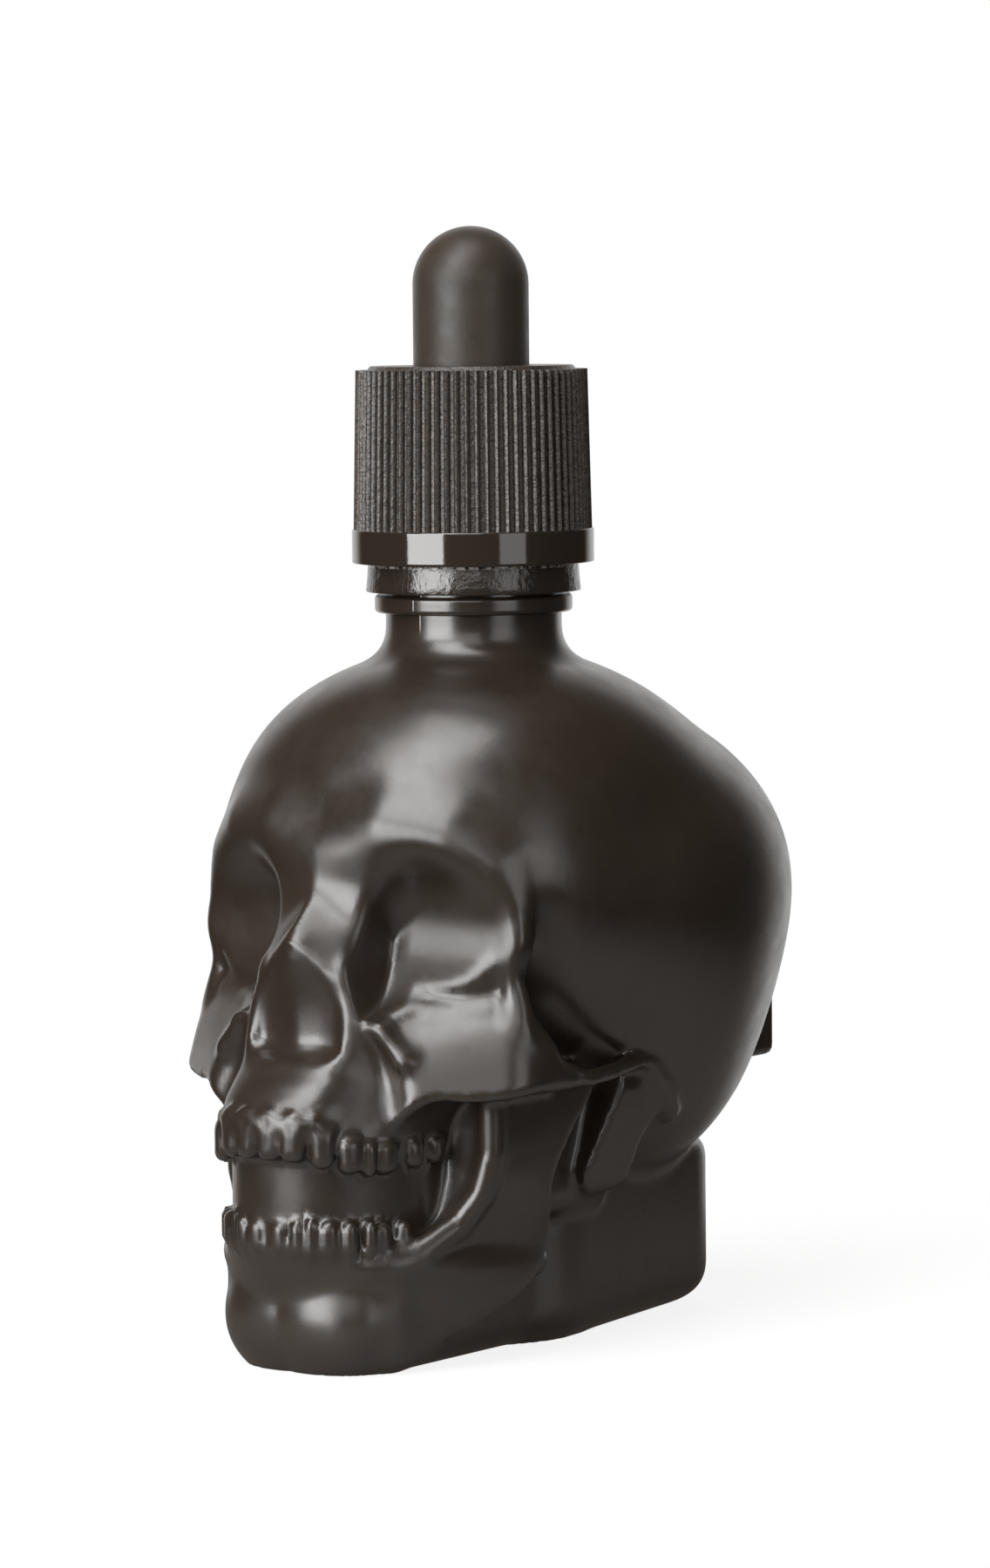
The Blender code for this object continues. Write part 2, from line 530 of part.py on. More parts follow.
def jaw_branch(p):
    """The rising part of the jaw, with the ridge along its front that runs on over the jaw's body."""
    x, y, z = p
    front = by_height(z, RAMUS_HEIGHTS, RAMUS_FRONTS)
    back = by_height(z, RAMUS_HEIGHTS, RAMUS_BACKS)
    share = np.clip((y - front) / (back - front), 0, 1)
    front_side = by_height(z, RAMUS_HEIGHTS, RAMUS_FRONT_SIDES)
    back_side = by_height(z, RAMUS_HEIGHTS, RAMUS_BACK_SIDES)
    side = front_side + share * (back_side - front_side)
    plate = keep(x - side, np.maximum(front - y, RAMUS_INSIDE - x), FIRM)
    plate = keep(plate, y - back, FIRM)
    lower_edge = np.interp(y, *RAMUS_LOWER_EDGE).astype(z.dtype)
    plate = keep(plate, np.maximum(lower_edge - z, z - RAMUS_TOP), SOFT)
    return join(plate, ridge(p, RAMUS_RIDGE, RAMUS_RIDGE_RADII), RAMUS_RIDGE_BLEND)


def mastoid(p):
    """The faceted knob behind the ear, with a crisp front edge."""
    x, y, z = p
    front = by_height(z, MASTOID_HEIGHTS, MASTOID_FRONTS)
    back = by_height(z, MASTOID_HEIGHTS, MASTOID_BACKS)
    made = keep(x - by_height(z, MASTOID_HEIGHTS, MASTOID_SIDES), front - y, CRISP)
    made = keep(made, y - back, FIRM)
    made = keep(made, np.maximum(MASTOID_BOTTOM - z, z - MASTOID_HEIGHTS[-1]), FIRM)
    return keep(made, MASTOID_INSIDE - x, FIRM)


def arch_places(arch, distances):
    """Places along a row's outer line: x, y and the line's direction at each distance from the middle."""
    half_width, front, middle, power = arch
    t = np.linspace(0, math.pi / 2, ARCH_POINTS)
    x = half_width * np.sin(t) ** (2 / power)
    y = middle - (middle - front) * np.maximum(np.cos(t), 0) ** (2 / power)
    length = np.concatenate([[0], np.cumsum(np.hypot(np.diff(x), np.diff(y)))])
    direction = np.unwrap(np.arctan2(np.gradient(y), np.gradient(x)))
    return [[float(np.interp(distance, length, values)) for values in (x, y, direction)]
            for distance in distances]


def tooth(p, across, along, turn, bottom, top, start, end, rooted_above):
    """A rounded peg, narrowest at its free end."""
    s, c = math.sin(turn), math.cos(turn)
    x, y = p[0] - across, p[1] - along
    middle, half_height, half_width = (bottom + top) / 2, (top - bottom) / 2, (end - start) / 2
    to_root = (p[2] - middle) / half_height * (1 if rooted_above else -1)
    widening = 1 + TOOTH_TAPER * np.clip(to_root, -1, 1)
    turned_point = ((x * c + y * s) / widening, y * c - x * s, p[2])
    return box(turned_point, (0, TOOTH_DEPTH, middle), (half_width, TOOTH_DEPTH, half_height),
               min(TOOTH_ROUNDING, half_width))


def gum(p):
    """The scalloped edge of the gum over the upper front teeth."""
    places = arch_places(UPPER_ARCH, [distance for distance, _ in UPPER_GUM])
    line = [(x - GUM_DEPTH * math.sin(turn), y + GUM_DEPTH * math.cos(turn), height)
            for (x, y, turn), (_, height) in zip(places, UPPER_GUM)]
    return ridge(p, line, [GUM_RADIUS] * len(line))


def teeth(p):
    made = []
    for arch, row in ((UPPER_ARCH, UPPER_TEETH), (LOWER_ARCH, LOWER_TEETH)):
        places = arch_places(arch, [(start + end) / 2 for _, _, start, end in row])
        made += [tooth(p, *place, *size, row is UPPER_TEETH) for place, size in zip(places, row)]
    return np.minimum.reduce(made)


def foot(p):
    """The block behind the jaw, and the plinth that joins it to the chin."""
    x, y, z = p
    side = x - (BLOCK_HALF_WIDTH - (y - BLOCK_FRONT) * BLOCK_TAPER)
    block = keep(side, np.maximum(BLOCK_FRONT - y, y - BLOCK_BACK), BLOCK_CORNERS)
    block = keep(block, z - BLOCK_TOP, BLOCK_ROUNDING)
    block = keep(block, -z - BASE_TRIM, BLOCK_FOOT_ROUNDING)
    return join(block, box(p, *PLINTH, BLOCK_ROUNDING), SOFT)


def face_form(p):
    """The nose and both jaws, before the hollows are taken out."""
    made = join(jaw(p), mouth_wall(p), FIRM)
    made = join(made, muzzle(p), FIRM)
    made = join(made, nose(p), SOFT)
    return join(made, ridge(p, FACE_RIDGE, FACE_RIDGE_RADII), FACE_RIDGE_BLEND)


def outer_form(p):
    """The whole skull with the plain part of the neck."""
    made = join(cranium(p), ball(p, *SOCKET_BACK), SOFT)
    made = carve(made, temple_hollow(p), CRISP)
    made = join(made, cheekbone(p), FIRM)
    made = join(made, brow(p), BROAD)
    made = join(made, face_form(p), SOFT)
    made = carve(made, eye_hollow(p), by_height(p[2], EYE_RIM_HEIGHTS, EYE_RIM_ROUNDINGS))
    made = carve(made, nose_opening(p), NOSE_RIM)
    made = carve(made, ball(p, *CANINE_HOLLOW, CANINE_LEAN), CANINE_BLEND)
    made = join(made, gum(p), FIRM)
    made = join(made, teeth(p), by_height(p[2], GUM_HEIGHTS, GUM_BLENDS))
    made = join(made, box(p, *NAPE, BLOCK_ROUNDING), FIRM)
    made = join(made, jaw_branch(p), FIRM)
    made = join(made, mastoid(p), FIRM)
    made = join(made, ridge(p, CHEEK_ARCH, CHEEK_ARCH_RADII), FIRM)
    made = carve(made, ball(p, *EAR_PIT), CRISP)
    made = join(made, foot(p), FIRM)
    made = join(made, box(p, *BACK_PAD, FIRM), FIRM)
    neck = np.maximum(np.sqrt(p[0] ** 2 + p[1] ** 2) - NECK_RADIUS, p[2] - BEAD_TOP + NECK_FOOT)
    return join(made, neck, NECK_FILLET)


def hollow_form(p, outer):
    """The hollow: the skull's big shapes drawn in by the wall, and never nearer to the outside."""
    shrink = WALL + WALL_EXTRA
    shapes = [ball(p, centre, [r - shrink for r in radii]) for centre, radii in (CROWN, FOREHEAD, OCCIPUT)]
    shapes.append(box(p, *FACE_HOLLOW, HOLLOW_ROUNDING))
    block_middle = (BLOCK_FRONT + BLOCK_BACK) / 2
    block_half = (BLOCK_HALF_WIDTH - BLOCK_HOLLOW_INSET, (BLOCK_BACK - BLOCK_FRONT) / 2 - FIRM, BLOCK_TOP / 2)
    shapes.append(box(p, (0, block_middle - BLOCK_HOLLOW_SHIFT, BLOCK_TOP / 2), block_half, HOLLOW_ROUNDING))
    made = shapes[0]
    for shape in shapes[1:]:
        made = join(made, shape, HOLLOW_BLEND)
    made = keep(made, FLOOR_THICKNESS - p[2], SOFT)
    return keep(made, outer + WALL, SOFT)


def glass_form(x, y, z):
    p = (np.abs(x), y, z)
    outer = np.maximum(outer_form(p), -z - BASE_TRIM)
    return np.maximum(outer, -hollow_form(p, outer))


def skin(form, low, high, step):
    """A closed mesh of quads over the form, found on a grid and then drawn onto the form."""
    axes = [np.arange(a, b + step, step, dtype=np.float32) for a, b in zip(low, high)]
    grid = np.meshgrid(*axes, indexing="ij")
    field = without_pinches(form(*[g.ravel() for g in grid]).reshape(grid[0].shape))
    cells = np.array(field.shape) - 1
    corners = np.array([(i, j, k) for i in (0, 1) for j in (0, 1) for k in (0, 1)])
    views = [field[i:i + cells[0], j:j + cells[1], k:k + cells[2]] for i, j, k in corners]
    inside = sum((view < 0).astype(np.int8) for view in views)
    crossed = np.argwhere((inside > 0) & (inside < 8))
    number = np.full(cells, -1, np.int64)
    number[tuple(crossed.T)] = np.arange(len(crossed))
    values = np.stack([view[tuple(crossed.T)] for view in views], axis=1)
    points = (crossed + crossing_point(values, corners)) * step + np.array(low)
    faces = np.concatenate([quads_across(field, number, axis) for axis in range(3)])
    return settle(form, points, step), faces


def without_pinches(field):
    """Fills the grid squares met only at two opposite corners, where the skin would touch itself."""
    while True:
        filled = 0
        for axis in range(3):
            turned_field = np.moveaxis(field, axis, 0)
            squares = [turned_field[:, :-1, :-1], turned_field[:, 1:, :-1], turned_field[:, 1:, 1:],
                       turned_field[:, :-1, 1:]]
            a, b, c, d = [square < 0 for square in squares]
            pinched = (a == c) & (b == d) & (a != b)
            filled += pinched.sum()
            for square in squares:
                square[pinched] = np.minimum(square[pinched], -PINCH_FILL)
        if not filled:
            return field


def crossing_point(values, corners):
    """In each grid cell, the middle of the places where its edges cross the surface."""
    total = np.zeros((len(values), 3))
    count = np.zeros(len(values))
    for a in range(8):
        for b in range(a + 1, 8):
            if np.abs(corners[a] - corners[b]).sum() != 1:
                continue
            crosses = (values[:, a] < 0) != (values[:, b] < 0)
            drop = np.where(crosses, values[:, a] - values[:, b], 1)
            share = np.where(crosses, values[:, a] / drop, 0)[:, None]
            total += np.where(crosses[:, None], corners[a] + share * (corners[b] - corners[a]), 0)
            count += crosses
    return total / count[:, None]


def quads_across(field, number, axis):
    """One quad round each grid edge along this axis that the surface crosses."""
    u, v = (axis + 1) % 3, (axis + 2) % 3
    size = field.shape[axis]
    here = np.take(field, range(size - 1), axis) < 0
    ahead = np.take(field, range(1, size), axis) < 0
    spots = np.argwhere(ahead != here)
    leaving = here[tuple(spots.T)]
    ring = []
    for du, dv in ((1, 1), (0, 1), (0, 0), (1, 0)):
        cell = spots.copy()
        cell[:, u] -= du
        cell[:, v] -= dv
        ring.append(number[tuple(cell.T)])
    ring = np.stack(ring, axis=1)
    ring[~leaving] = ring[~leaving][:, ::-1]
    return ring


def settle(form, points, step):
    """Moves each point along the form's slope until it lies on the surface."""
    nudge = step / 10
    for _ in range(SETTLE_ROUNDS):
        value = form(*points.T)
        ahead = [form(*(points + nudge * axis).T) for axis in np.eye(3)]
        slope = (np.stack(ahead, axis=1) - value[:, None]) / nudge
        move = -slope * (value / np.maximum((slope ** 2).sum(axis=1), 0.1))[:, None]
        length = np.sqrt((move ** 2).sum(axis=1))[:, None]
        points = points + move * np.minimum(1, step / 2 / np.maximum(length, TINY))
    return points


# Turned pieces


def turned(name, outline, material=None, sides=ROUND_SIDES):
    """A closed ring or solid from its section: (radius, height) points, going up on the outer side."""
    shape = bmesh.new()
    points = [shape.verts.new((radius * MM, 0, height * MM)) for radius, height in outline]
    edges = [shape.edges.new(pair) for pair in zip(points, points[1:] + points[:1])]
    bmesh.ops.spin(shape, geom=points + edges, cent=(0, 0, 0), axis=(0, 0, 1), angle=math.tau,
                   steps=sides, use_merge=True)
    bmesh.ops.remove_doubles(shape, verts=shape.verts, dist=1e-6)
    bmesh.ops.dissolve_degenerate(shape, edges=shape.edges, dist=1e-7)
    bmesh.ops.recalc_face_normals(shape, faces=shape.faces)
    mesh = bpy.data.meshes.new(name)
    shape.to_mesh(mesh)
    shape.free()
    mesh.shade_smooth()
    mesh.set_sharp_from_angle(angle=math.radians(SHARP_ANGLE))
    if material:
        mesh.materials.append(material)
    made = bpy.data.objects.new(name, mesh)
    bpy.context.scene.collection.objects.link(made)
    return made


def arc(radius, height, size, start, end, steps=2):
    """Points on a round corner of an outline, from one angle to another in degrees."""
    angles = [math.radians(start + (end - start) * i / steps) for i in range(steps + 1)]
    return [(radius + size * math.cos(a), height + size * math.sin(a)) for a in angles]


def thread(name, root_radius, crest_radius, start_height, turns, start_angle):
    """A helical ridge that starts inside its wall, and fades into it at both ends."""
    direction = 1 if crest_radius > root_radius else -1
    buried = root_radius - OVERLAP * direction
    steps = int(turns * THREAD_STEPS)
    fade = THREAD_LEAD_IN / 360
    points = []
    for i in range(steps + 1):
        turn = turns * i / steps
        rise = min(1, turn / fade, (turns - turn) / fade)
        crest = buried + (crest_radius - buried) * max(rise, THREAD_END_RISE)
        angle = math.radians(start_angle) + math.tau * turn
        height = start_height + THREAD_PITCH * turn
        for radius, offset in ((buried, -THREAD_ROOT_WIDTH / 2), (crest, -THREAD_CREST_WIDTH / 2),
                               (crest, THREAD_CREST_WIDTH / 2), (buried, THREAD_ROOT_WIDTH / 2)):
            points.append((radius * math.cos(angle), radius * math.sin(angle), height + offset))
    faces = [(0, 1, 2, 3), tuple(4 * steps + k for k in (3, 2, 1, 0))]
    for i in range(steps):
        for k in range(4):
            a, b = 4 * i + k, 4 * i + (k + 1) % 4
            faces.append((a, a + 4, b + 4, b))
    if direction < 0:
        faces = [face[::-1] for face in faces]
    return as_cutter(new_object(name, points, faces))


def lugs(name, bottom, top, start_angle):
    """Radial teeth round the axis, as one helper that a cap is joined with."""
    points, faces = [], []
    for i in range(LUG_COUNT):
        angle = math.radians(start_angle + 360 * i / LUG_COUNT)
        out = (math.cos(angle), math.sin(angle))
        for height in (bottom, top):
            for radius, side in ((LUG_INNER_RADIUS, -1), (LUG_OUTER_RADIUS, -1), (LUG_OUTER_RADIUS, 1),
                                 (LUG_INNER_RADIUS, 1)):
                shift = side * LUG_WIDTH / 2
                points.append((out[0] * radius - out[1] * shift, out[1] * radius + out[0] * shift, height))
        b = 8 * i
        faces += [(b + 3, b + 2, b + 1, b), (b + 4, b + 5, b + 6, b + 7)]
        faces += [(b + k, b + (k + 1) % 4, b + 4 + (k + 1) % 4, b + 4 + k) for k in range(4)]
    return as_cutter(new_object(name, points, faces))


# The pieces


def make_bottle(material):
    half_width = CROWN[1][0] + SKIN_MARGIN
    front = UPPER_ARCH[1] - SKIN_MARGIN
    back = BACK_PAD[0][1] + BACK_PAD[1][1] + SKIN_MARGIN
    low, high = (-half_width, front, -SKIN_MARGIN), (half_width, back, BEAD_TOP + SKIN_MARGIN)
    points, faces = skin(glass_form, low, high, SKULL_STEP)
    bottle = new_object("bottle", points.tolist(), faces.tolist(), material)
    bottle.data.shade_smooth()
    thin = bottle.modifiers.new("Thin out", "DECIMATE")
    thin.ratio = min(1, SKULL_TRIANGLES / (2 * len(faces)))
    below = new_box("base_cutter", (low[0] - CUT_PAST, low[1] - CUT_PAST, low[2] - CUT_PAST),
                    (high[0] + CUT_PAST, high[1] + CUT_PAST, 0))
    combine(bottle, "DIFFERENCE", as_cutter(below))
    combine(bottle, "UNION", as_cutter(turned("finish_helper", finish_outline())))
    combine(bottle, "UNION", thread("bottle_thread_helper", FINISH_RADIUS, FINISH_RADIUS + THREAD_DEPTH,
                                    THREAD_START, BOTTLE_THREAD_TURNS, 0))
    start, end = CROWN[0][2], RIM_HEIGHT + CUT_PAST
    bore = [(0, start), (BORE_RADIUS, start), (BORE_RADIUS, end), (0, end)]
    combine(bottle, "DIFFERENCE", as_cutter(turned("bore_cutter", bore)))
    return bottle


def finish_outline():
    """The part of the neck above the plain stem, up to the rim, as a solid section."""
    bead_low = arc(BEAD_RADIUS - BEAD_ROUNDING, BEAD_BOTTOM + BEAD_ROUNDING, BEAD_ROUNDING, -90, 0)
    bead_high = arc(BEAD_RADIUS - BEAD_ROUNDING, BEAD_TOP - BEAD_ROUNDING, BEAD_ROUNDING, 0, 90)
    stem = RING_BORE_RADIUS - GAP
    locking_top = LOCKING_BEAD_BOTTOM + LOCKING_BEAD_HEIGHT
    outline = [(0, BEAD_BOTTOM)] + bead_low + bead_high
    outline += [(stem, BEAD_TOP), (stem, LOCKING_BEAD_BOTTOM), (LOCKING_BEAD_RADIUS, LOCKING_BEAD_BOTTOM)]
    outline += [(LOCKING_BEAD_RADIUS, LOCKING_BEAD_BOTTOM + LOCKING_BEAD_EDGE), (FINISH_RADIUS, locking_top)]
    outline += arc(FINISH_RADIUS - RIM_ROUNDING, RIM_HEIGHT - RIM_ROUNDING, RIM_ROUNDING, 0, 90)
    return outline + [(0, RIM_HEIGHT)]


def make_tamper_ring(material):
    bottom, top = BEAD_TOP + GAP, RING_TOP
    outline = [(RING_BORE_RADIUS, bottom), (RING_BOTTOM_RADIUS, bottom), (RING_TOP_RADIUS, top),
               (RING_BORE_RADIUS, top)]
    return turned("tamper_ring", outline, material)


def make_inner_cap(material):
    opening = BULB_RADIUS + GAP
    flange_top = INNER_CAP_BOTTOM + INNER_CAP_FLANGE_HEIGHT
    outline = [(INNER_CAP_BORE_RADIUS + INNER_CAP_CHAMFER, INNER_CAP_BOTTOM)]
    outline += [(INNER_CAP_FLANGE_RADIUS, INNER_CAP_BOTTOM)]
    outline += [(INNER_CAP_FLANGE_RADIUS, flange_top), (INNER_CAP_RADIUS, flange_top + INNER_CAP_CHAMFER)]
    outline += arc(INNER_CAP_RADIUS - INNER_CAP_ROUNDING, INNER_CAP_TOP - INNER_CAP_ROUNDING,
                   INNER_CAP_ROUNDING, 0, 90, 1)
    outline += [(opening, INNER_CAP_TOP), (opening, INNER_CAP_CEILING)]
    outline += [(INNER_CAP_BORE_RADIUS, INNER_CAP_CEILING)]
    outline += [(INNER_CAP_BORE_RADIUS, INNER_CAP_BOTTOM + INNER_CAP_LEAD_IN)]
    cap = turned("inner_cap", outline, material)
    # The cap's thread lies midway between the turns of the bottle's thread.
    combine(cap, "UNION", thread("cap_thread_helper", INNER_CAP_BORE_RADIUS, CAP_THREAD_CREST_RADIUS,
                                 THREAD_START - THREAD_PITCH / 2, CAP_THREAD_TURNS, 0))
    combine(cap, "UNION", lugs("cap_lugs_helper", INNER_CAP_TOP - OVERLAP, INNER_CAP_TOP + LUG_HEIGHT, 0))
    return cap


def make_outer_shell(material):
    ribs_bottom = SHELL_BOTTOM + BAND_HEIGHT
    opening = BULB_RADIUS + GAP + OPENING_PLAY
    shell = ribbed_drum("outer_shell", ribs_bottom - OVERLAP, SHELL_TOP, material)
    band = [(BAND_RADIUS - BAND_DEPTH, SHELL_BOTTOM), (BAND_RADIUS, SHELL_BOTTOM)]
    band += [(BAND_RADIUS, ribs_bottom - BAND_STEP)]
    band += [(BAND_RADIUS - BAND_STEP, ribs_bottom), (BAND_RADIUS - BAND_DEPTH, ribs_bottom)]
    combine(shell, "UNION", as_cutter(turned("band_helper", band)))
    skirt_top = SHELL_BOTTOM + SHELL_SKIRT_HEIGHT
    bead_top = SHELL_BOTTOM + SNAP_BEAD_HEIGHT
    inside = [(0, SHELL_BOTTOM - CUT_PAST), (SNAP_BEAD_RADIUS, SHELL_BOTTOM - CUT_PAST)]
    inside += [(SNAP_BEAD_RADIUS, bead_top - SNAP_BEAD_SLOPE)]
    inside += [(SHELL_SKIRT_BORE_RADIUS, bead_top), (SHELL_SKIRT_BORE_RADIUS, skirt_top)]
    inside += [(SHELL_BORE_RADIUS, skirt_top + SHELL_BORE_CHAMFER), (SHELL_BORE_RADIUS, SHELL_CEILING)]
    inside += [(opening, SHELL_CEILING), (opening, SHELL_TOP + CUT_PAST), (0, SHELL_TOP + CUT_PAST)]
    combine(shell, "DIFFERENCE", as_cutter(turned("shell_void_cutter", inside)))
    half_pitch = 180 / LUG_COUNT
    hanging = lugs("shell_lugs_helper", SHELL_CEILING - LUG_HEIGHT, SHELL_CEILING + OVERLAP, half_pitch)
    combine(shell, "UNION", hanging)
    return shell


def ribbed_drum(name, bottom, top, material):
    """A solid drum whose side has upright ribs and leans in towards the top."""
    points = []
    for height in (bottom, top):
        share = (height - bottom) / (top - bottom)
        crest = RIB_CREST_RADIUS + (RIB_CREST_RADIUS_TOP - RIB_CREST_RADIUS) * share
        for i in range(RIB_COUNT):
            for turn, radius in ((-RIB_ROOT_SHARE, crest - RIB_DEPTH), (-RIB_CREST_SHARE, crest),
                                 (RIB_CREST_SHARE, crest), (RIB_ROOT_SHARE, crest - RIB_DEPTH)):
                angle = math.tau * (i + turn / 2) / RIB_COUNT
                points.append((radius * math.cos(angle), radius * math.sin(angle), height))
    count = 4 * RIB_COUNT
    faces = [(k, (k + 1) % count, count + (k + 1) % count, count + k) for k in range(count)]
    faces += [tuple(reversed(range(count))), tuple(range(count, 2 * count))]
    return new_object(name, points, faces, material)


def make_bulb(material):
    chamber = BULB_RADIUS - BULB_WALL
    socket = PIPETTE_RADIUS + GAP
    dome = BULB_TOP - BULB_RADIUS
    outline = [(socket, BULB_FLANGE_BOTTOM), (BULB_FLANGE_RADIUS, BULB_FLANGE_BOTTOM)]
    outline += [(BULB_FLANGE_RADIUS, BULB_FLANGE_TOP), (BULB_RADIUS, BULB_FLANGE_TOP)]
    outline += arc(0, dome, BULB_RADIUS, 0, 90, 7)[:-1] + [(0, BULB_TOP)]
    outline += [(0, dome + chamber)] + arc(0, dome, chamber, 90, 0, 5)[1:]
    outline += [(chamber, BULB_SOCKET_TOP + BULB_SOCKET_STEP), (socket, BULB_SOCKET_TOP)]
    return turned("bulb", outline, material, BULB_SIDES)


def make_pipette(material):
    taper_top = PIPETTE_TIP + PIPETTE_TAPER_LENGTH
    outline = [(PIPETTE_TIP_BORE_RADIUS, PIPETTE_TIP), (PIPETTE_TIP_RADIUS, PIPETTE_TIP)]
    outline += [(PIPETTE_TIP_RADIUS, PIPETTE_TIP + PIPETTE_TIP_LENGTH), (PIPETTE_RADIUS, taper_top)]
    outline += [(PIPETTE_RADIUS, PIPETTE_TOP)]
    outline += [(PIPETTE_BORE_RADIUS, PIPETTE_TOP), (PIPETTE_BORE_RADIUS, taper_top)]
    outline += [(PIPETTE_TIP_BORE_RADIUS, PIPETTE_TIP + PIPETTE_TIP_LENGTH)]
    return turned("pipette", outline, material, PIPETTE_SIDES)


def main():
    for old in list(bpy.data.objects):
        bpy.data.objects.remove(old)
    coated_glass = new_material("coated_glass", (0.026, 0.019, 0.016), 0.32)
    satin_plastic = new_material("satin_plastic", (0.030, 0.023, 0.019), 0.35)
    textured_plastic = new_material("textured_plastic", (0.034, 0.026, 0.021), 0.55)
    bulb_rubber = new_material("bulb_rubber", (0.028, 0.021, 0.018), 0.6)
    clear_glass = new_material("clear_glass", (0.75, 0.80, 0.80), 0.05)
    make_bottle(coated_glass)
    make_tamper_ring(satin_plastic)
    make_inner_cap(satin_plastic.copy())
    make_outer_shell(textured_plastic)
    make_bulb(bulb_rubber)
    make_pipette(clear_glass)


main()
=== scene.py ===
# %% [markdown]
# # A skull-shaped dropper bottle
#
# The object is a small glass bottle in the shape of a skull, with a dark satin coating.
# It is closed by a ribbed child-resistant cap that carries a rubber bulb and a glass pipette.
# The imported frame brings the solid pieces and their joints. This script sets up the camera
# and the light, and then gives each visible piece its finish and its fine shape.

# %% Load the frame
import math

import bmesh
import bpy
import numpy as np
from mathutils import Matrix, Vector


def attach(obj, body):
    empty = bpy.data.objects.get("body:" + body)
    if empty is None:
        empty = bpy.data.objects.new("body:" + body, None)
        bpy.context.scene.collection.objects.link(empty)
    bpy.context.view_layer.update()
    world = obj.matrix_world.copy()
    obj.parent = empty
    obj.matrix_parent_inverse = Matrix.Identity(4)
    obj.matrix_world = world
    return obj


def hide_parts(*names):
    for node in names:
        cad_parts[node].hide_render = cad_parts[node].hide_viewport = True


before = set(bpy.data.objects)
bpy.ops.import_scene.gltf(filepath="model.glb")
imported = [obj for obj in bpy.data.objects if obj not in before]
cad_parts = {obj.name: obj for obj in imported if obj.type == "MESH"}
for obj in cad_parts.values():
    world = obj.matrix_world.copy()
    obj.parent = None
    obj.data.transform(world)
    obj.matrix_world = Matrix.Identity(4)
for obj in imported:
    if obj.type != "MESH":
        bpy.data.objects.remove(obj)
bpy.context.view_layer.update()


print("nodes:", sorted(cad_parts))

# %% [markdown]
# All sizes below are in millimetres, because a drawing of a bottle is read that way.
# Blender works in metres, so every mesh is scaled once, where it is made.

# %% Units and helpers for meshes
MM = 0.001


def add_object(name, data):
    """An object at the origin that holds this mesh, lamp or camera."""
    made = bpy.data.objects.new(name, data)
    bpy.context.scene.collection.objects.link(made)
    return made


def mesh_object(name, points, faces, material):
    """A mesh object from points in millimetres."""
    mesh = bpy.data.meshes.new(name)
    mesh.from_pydata((np.asarray(points, float) * MM).tolist(), [], faces)
    mesh.materials.append(material)
    return add_object(name, mesh)


def shade(mesh, sharp):
    """Smooth shading, except over edges that turn by this many degrees or more."""
    mesh.shade_smooth()
    mesh.set_sharp_from_angle(angle=math.radians(sharp))


def triangles(made):
    return sum(len(face.vertices) - 2 for face in made.data.polygons)


# %% [markdown]
# ## The camera
#
# The photograph was taken from 37.5 degrees to the skull's left and a little above the cap,
# from about 60 cm away with a long lens. A camera's own axes are written straight into its
# matrix: right, up and backwards. The object leans half a degree in the picture, so the
# camera is rolled by that much.

# %% Place the camera
CAMERA_AZIMUTH = math.radians(37.5)
CAMERA_DISTANCE = 600
CAMERA_HEIGHT = 105
CAMERA_SIDESTEP = 1.98
CAMERA_PITCH = math.radians(4.704)
CAMERA_ROLL = math.radians(-0.55)
CAMERA_NEAREST = 10
LENS = 136.32
SENSOR_HEIGHT = 36

right = Vector((math.cos(CAMERA_AZIMUTH), math.sin(CAMERA_AZIMUTH), 0))
ahead = Vector((-math.sin(CAMERA_AZIMUTH), math.cos(CAMERA_AZIMUTH), 0))
up = Vector((0, 0, 1))


def camera_axes():
    """The camera's right, up and viewing directions."""
    view = ahead * math.cos(CAMERA_PITCH) - up * math.sin(CAMERA_PITCH)
    level_up = right.cross(view)
    c, s = math.cos(CAMERA_ROLL), math.sin(CAMERA_ROLL)
    return right * c + level_up * s, level_up * c - right * s, view


camera_data = bpy.data.cameras.new("camera")
camera_data.sensor_fit = "VERTICAL"
camera_data.sensor_height = SENSOR_HEIGHT
camera_data.lens = LENS
camera_data.clip_start = CAMERA_NEAREST * MM
camera = add_object("camera", camera_data)
camera_right, camera_up, camera_view = camera_axes()
camera_place = (right * CAMERA_SIDESTEP - ahead * CAMERA_DISTANCE + up * CAMERA_HEIGHT) * MM
camera.matrix_world = Matrix((
    (camera_right.x, camera_up.x, -camera_view.x, camera_place.x),
    (camera_right.y, camera_up.y, -camera_view.y, camera_place.y),
    (camera_right.z, camera_up.z, -camera_view.z, camera_place.z),
    (0, 0, 0, 1),
))
bpy.context.scene.camera = camera
print("camera at (mm):", [round(c / MM, 1) for c in camera_place])

# %% [markdown]
# ## Shared effects for the materials
#
# A material is a tree of nodes. Building one by script means adding nodes, setting their
# inputs and linking them, so one helper does all three: an input that is given another
# node's socket is linked, and any other value is set.

# %% Helpers for nodes


def add_node(tree, kind, inputs=(), **settings):
    """A node with these settings, and with inputs given by name or by number."""
    node = tree.nodes.new(kind)
    for name, value in settings.items():
        setattr(node, name, value)
    for key, value in dict(inputs).items():
        if isinstance(value, bpy.types.NodeSocket):
            tree.links.new(value, node.inputs[key])
        else:
            node.inputs[key].default_value = value
    return node


def math_node(tree, operation, *values):
    return add_node(tree, "ShaderNodeMath", enumerate(values), operation=operation).outputs[0]


def vector_math(tree, operation, inputs, output="Vector"):
    return add_node(tree, "ShaderNodeVectorMath", inputs, operation=operation).outputs[output]


def map_range(tree, value, source, target, **settings):
    """A value moved from one range to another, and held at the ends of that one."""
    inputs = {"Value": value, "From Min": source[0], "From Max": source[1],
              "To Min": target[0], "To Max": target[1]}
    return add_node(tree, "ShaderNodeMapRange", inputs, **settings).outputs["Result"]


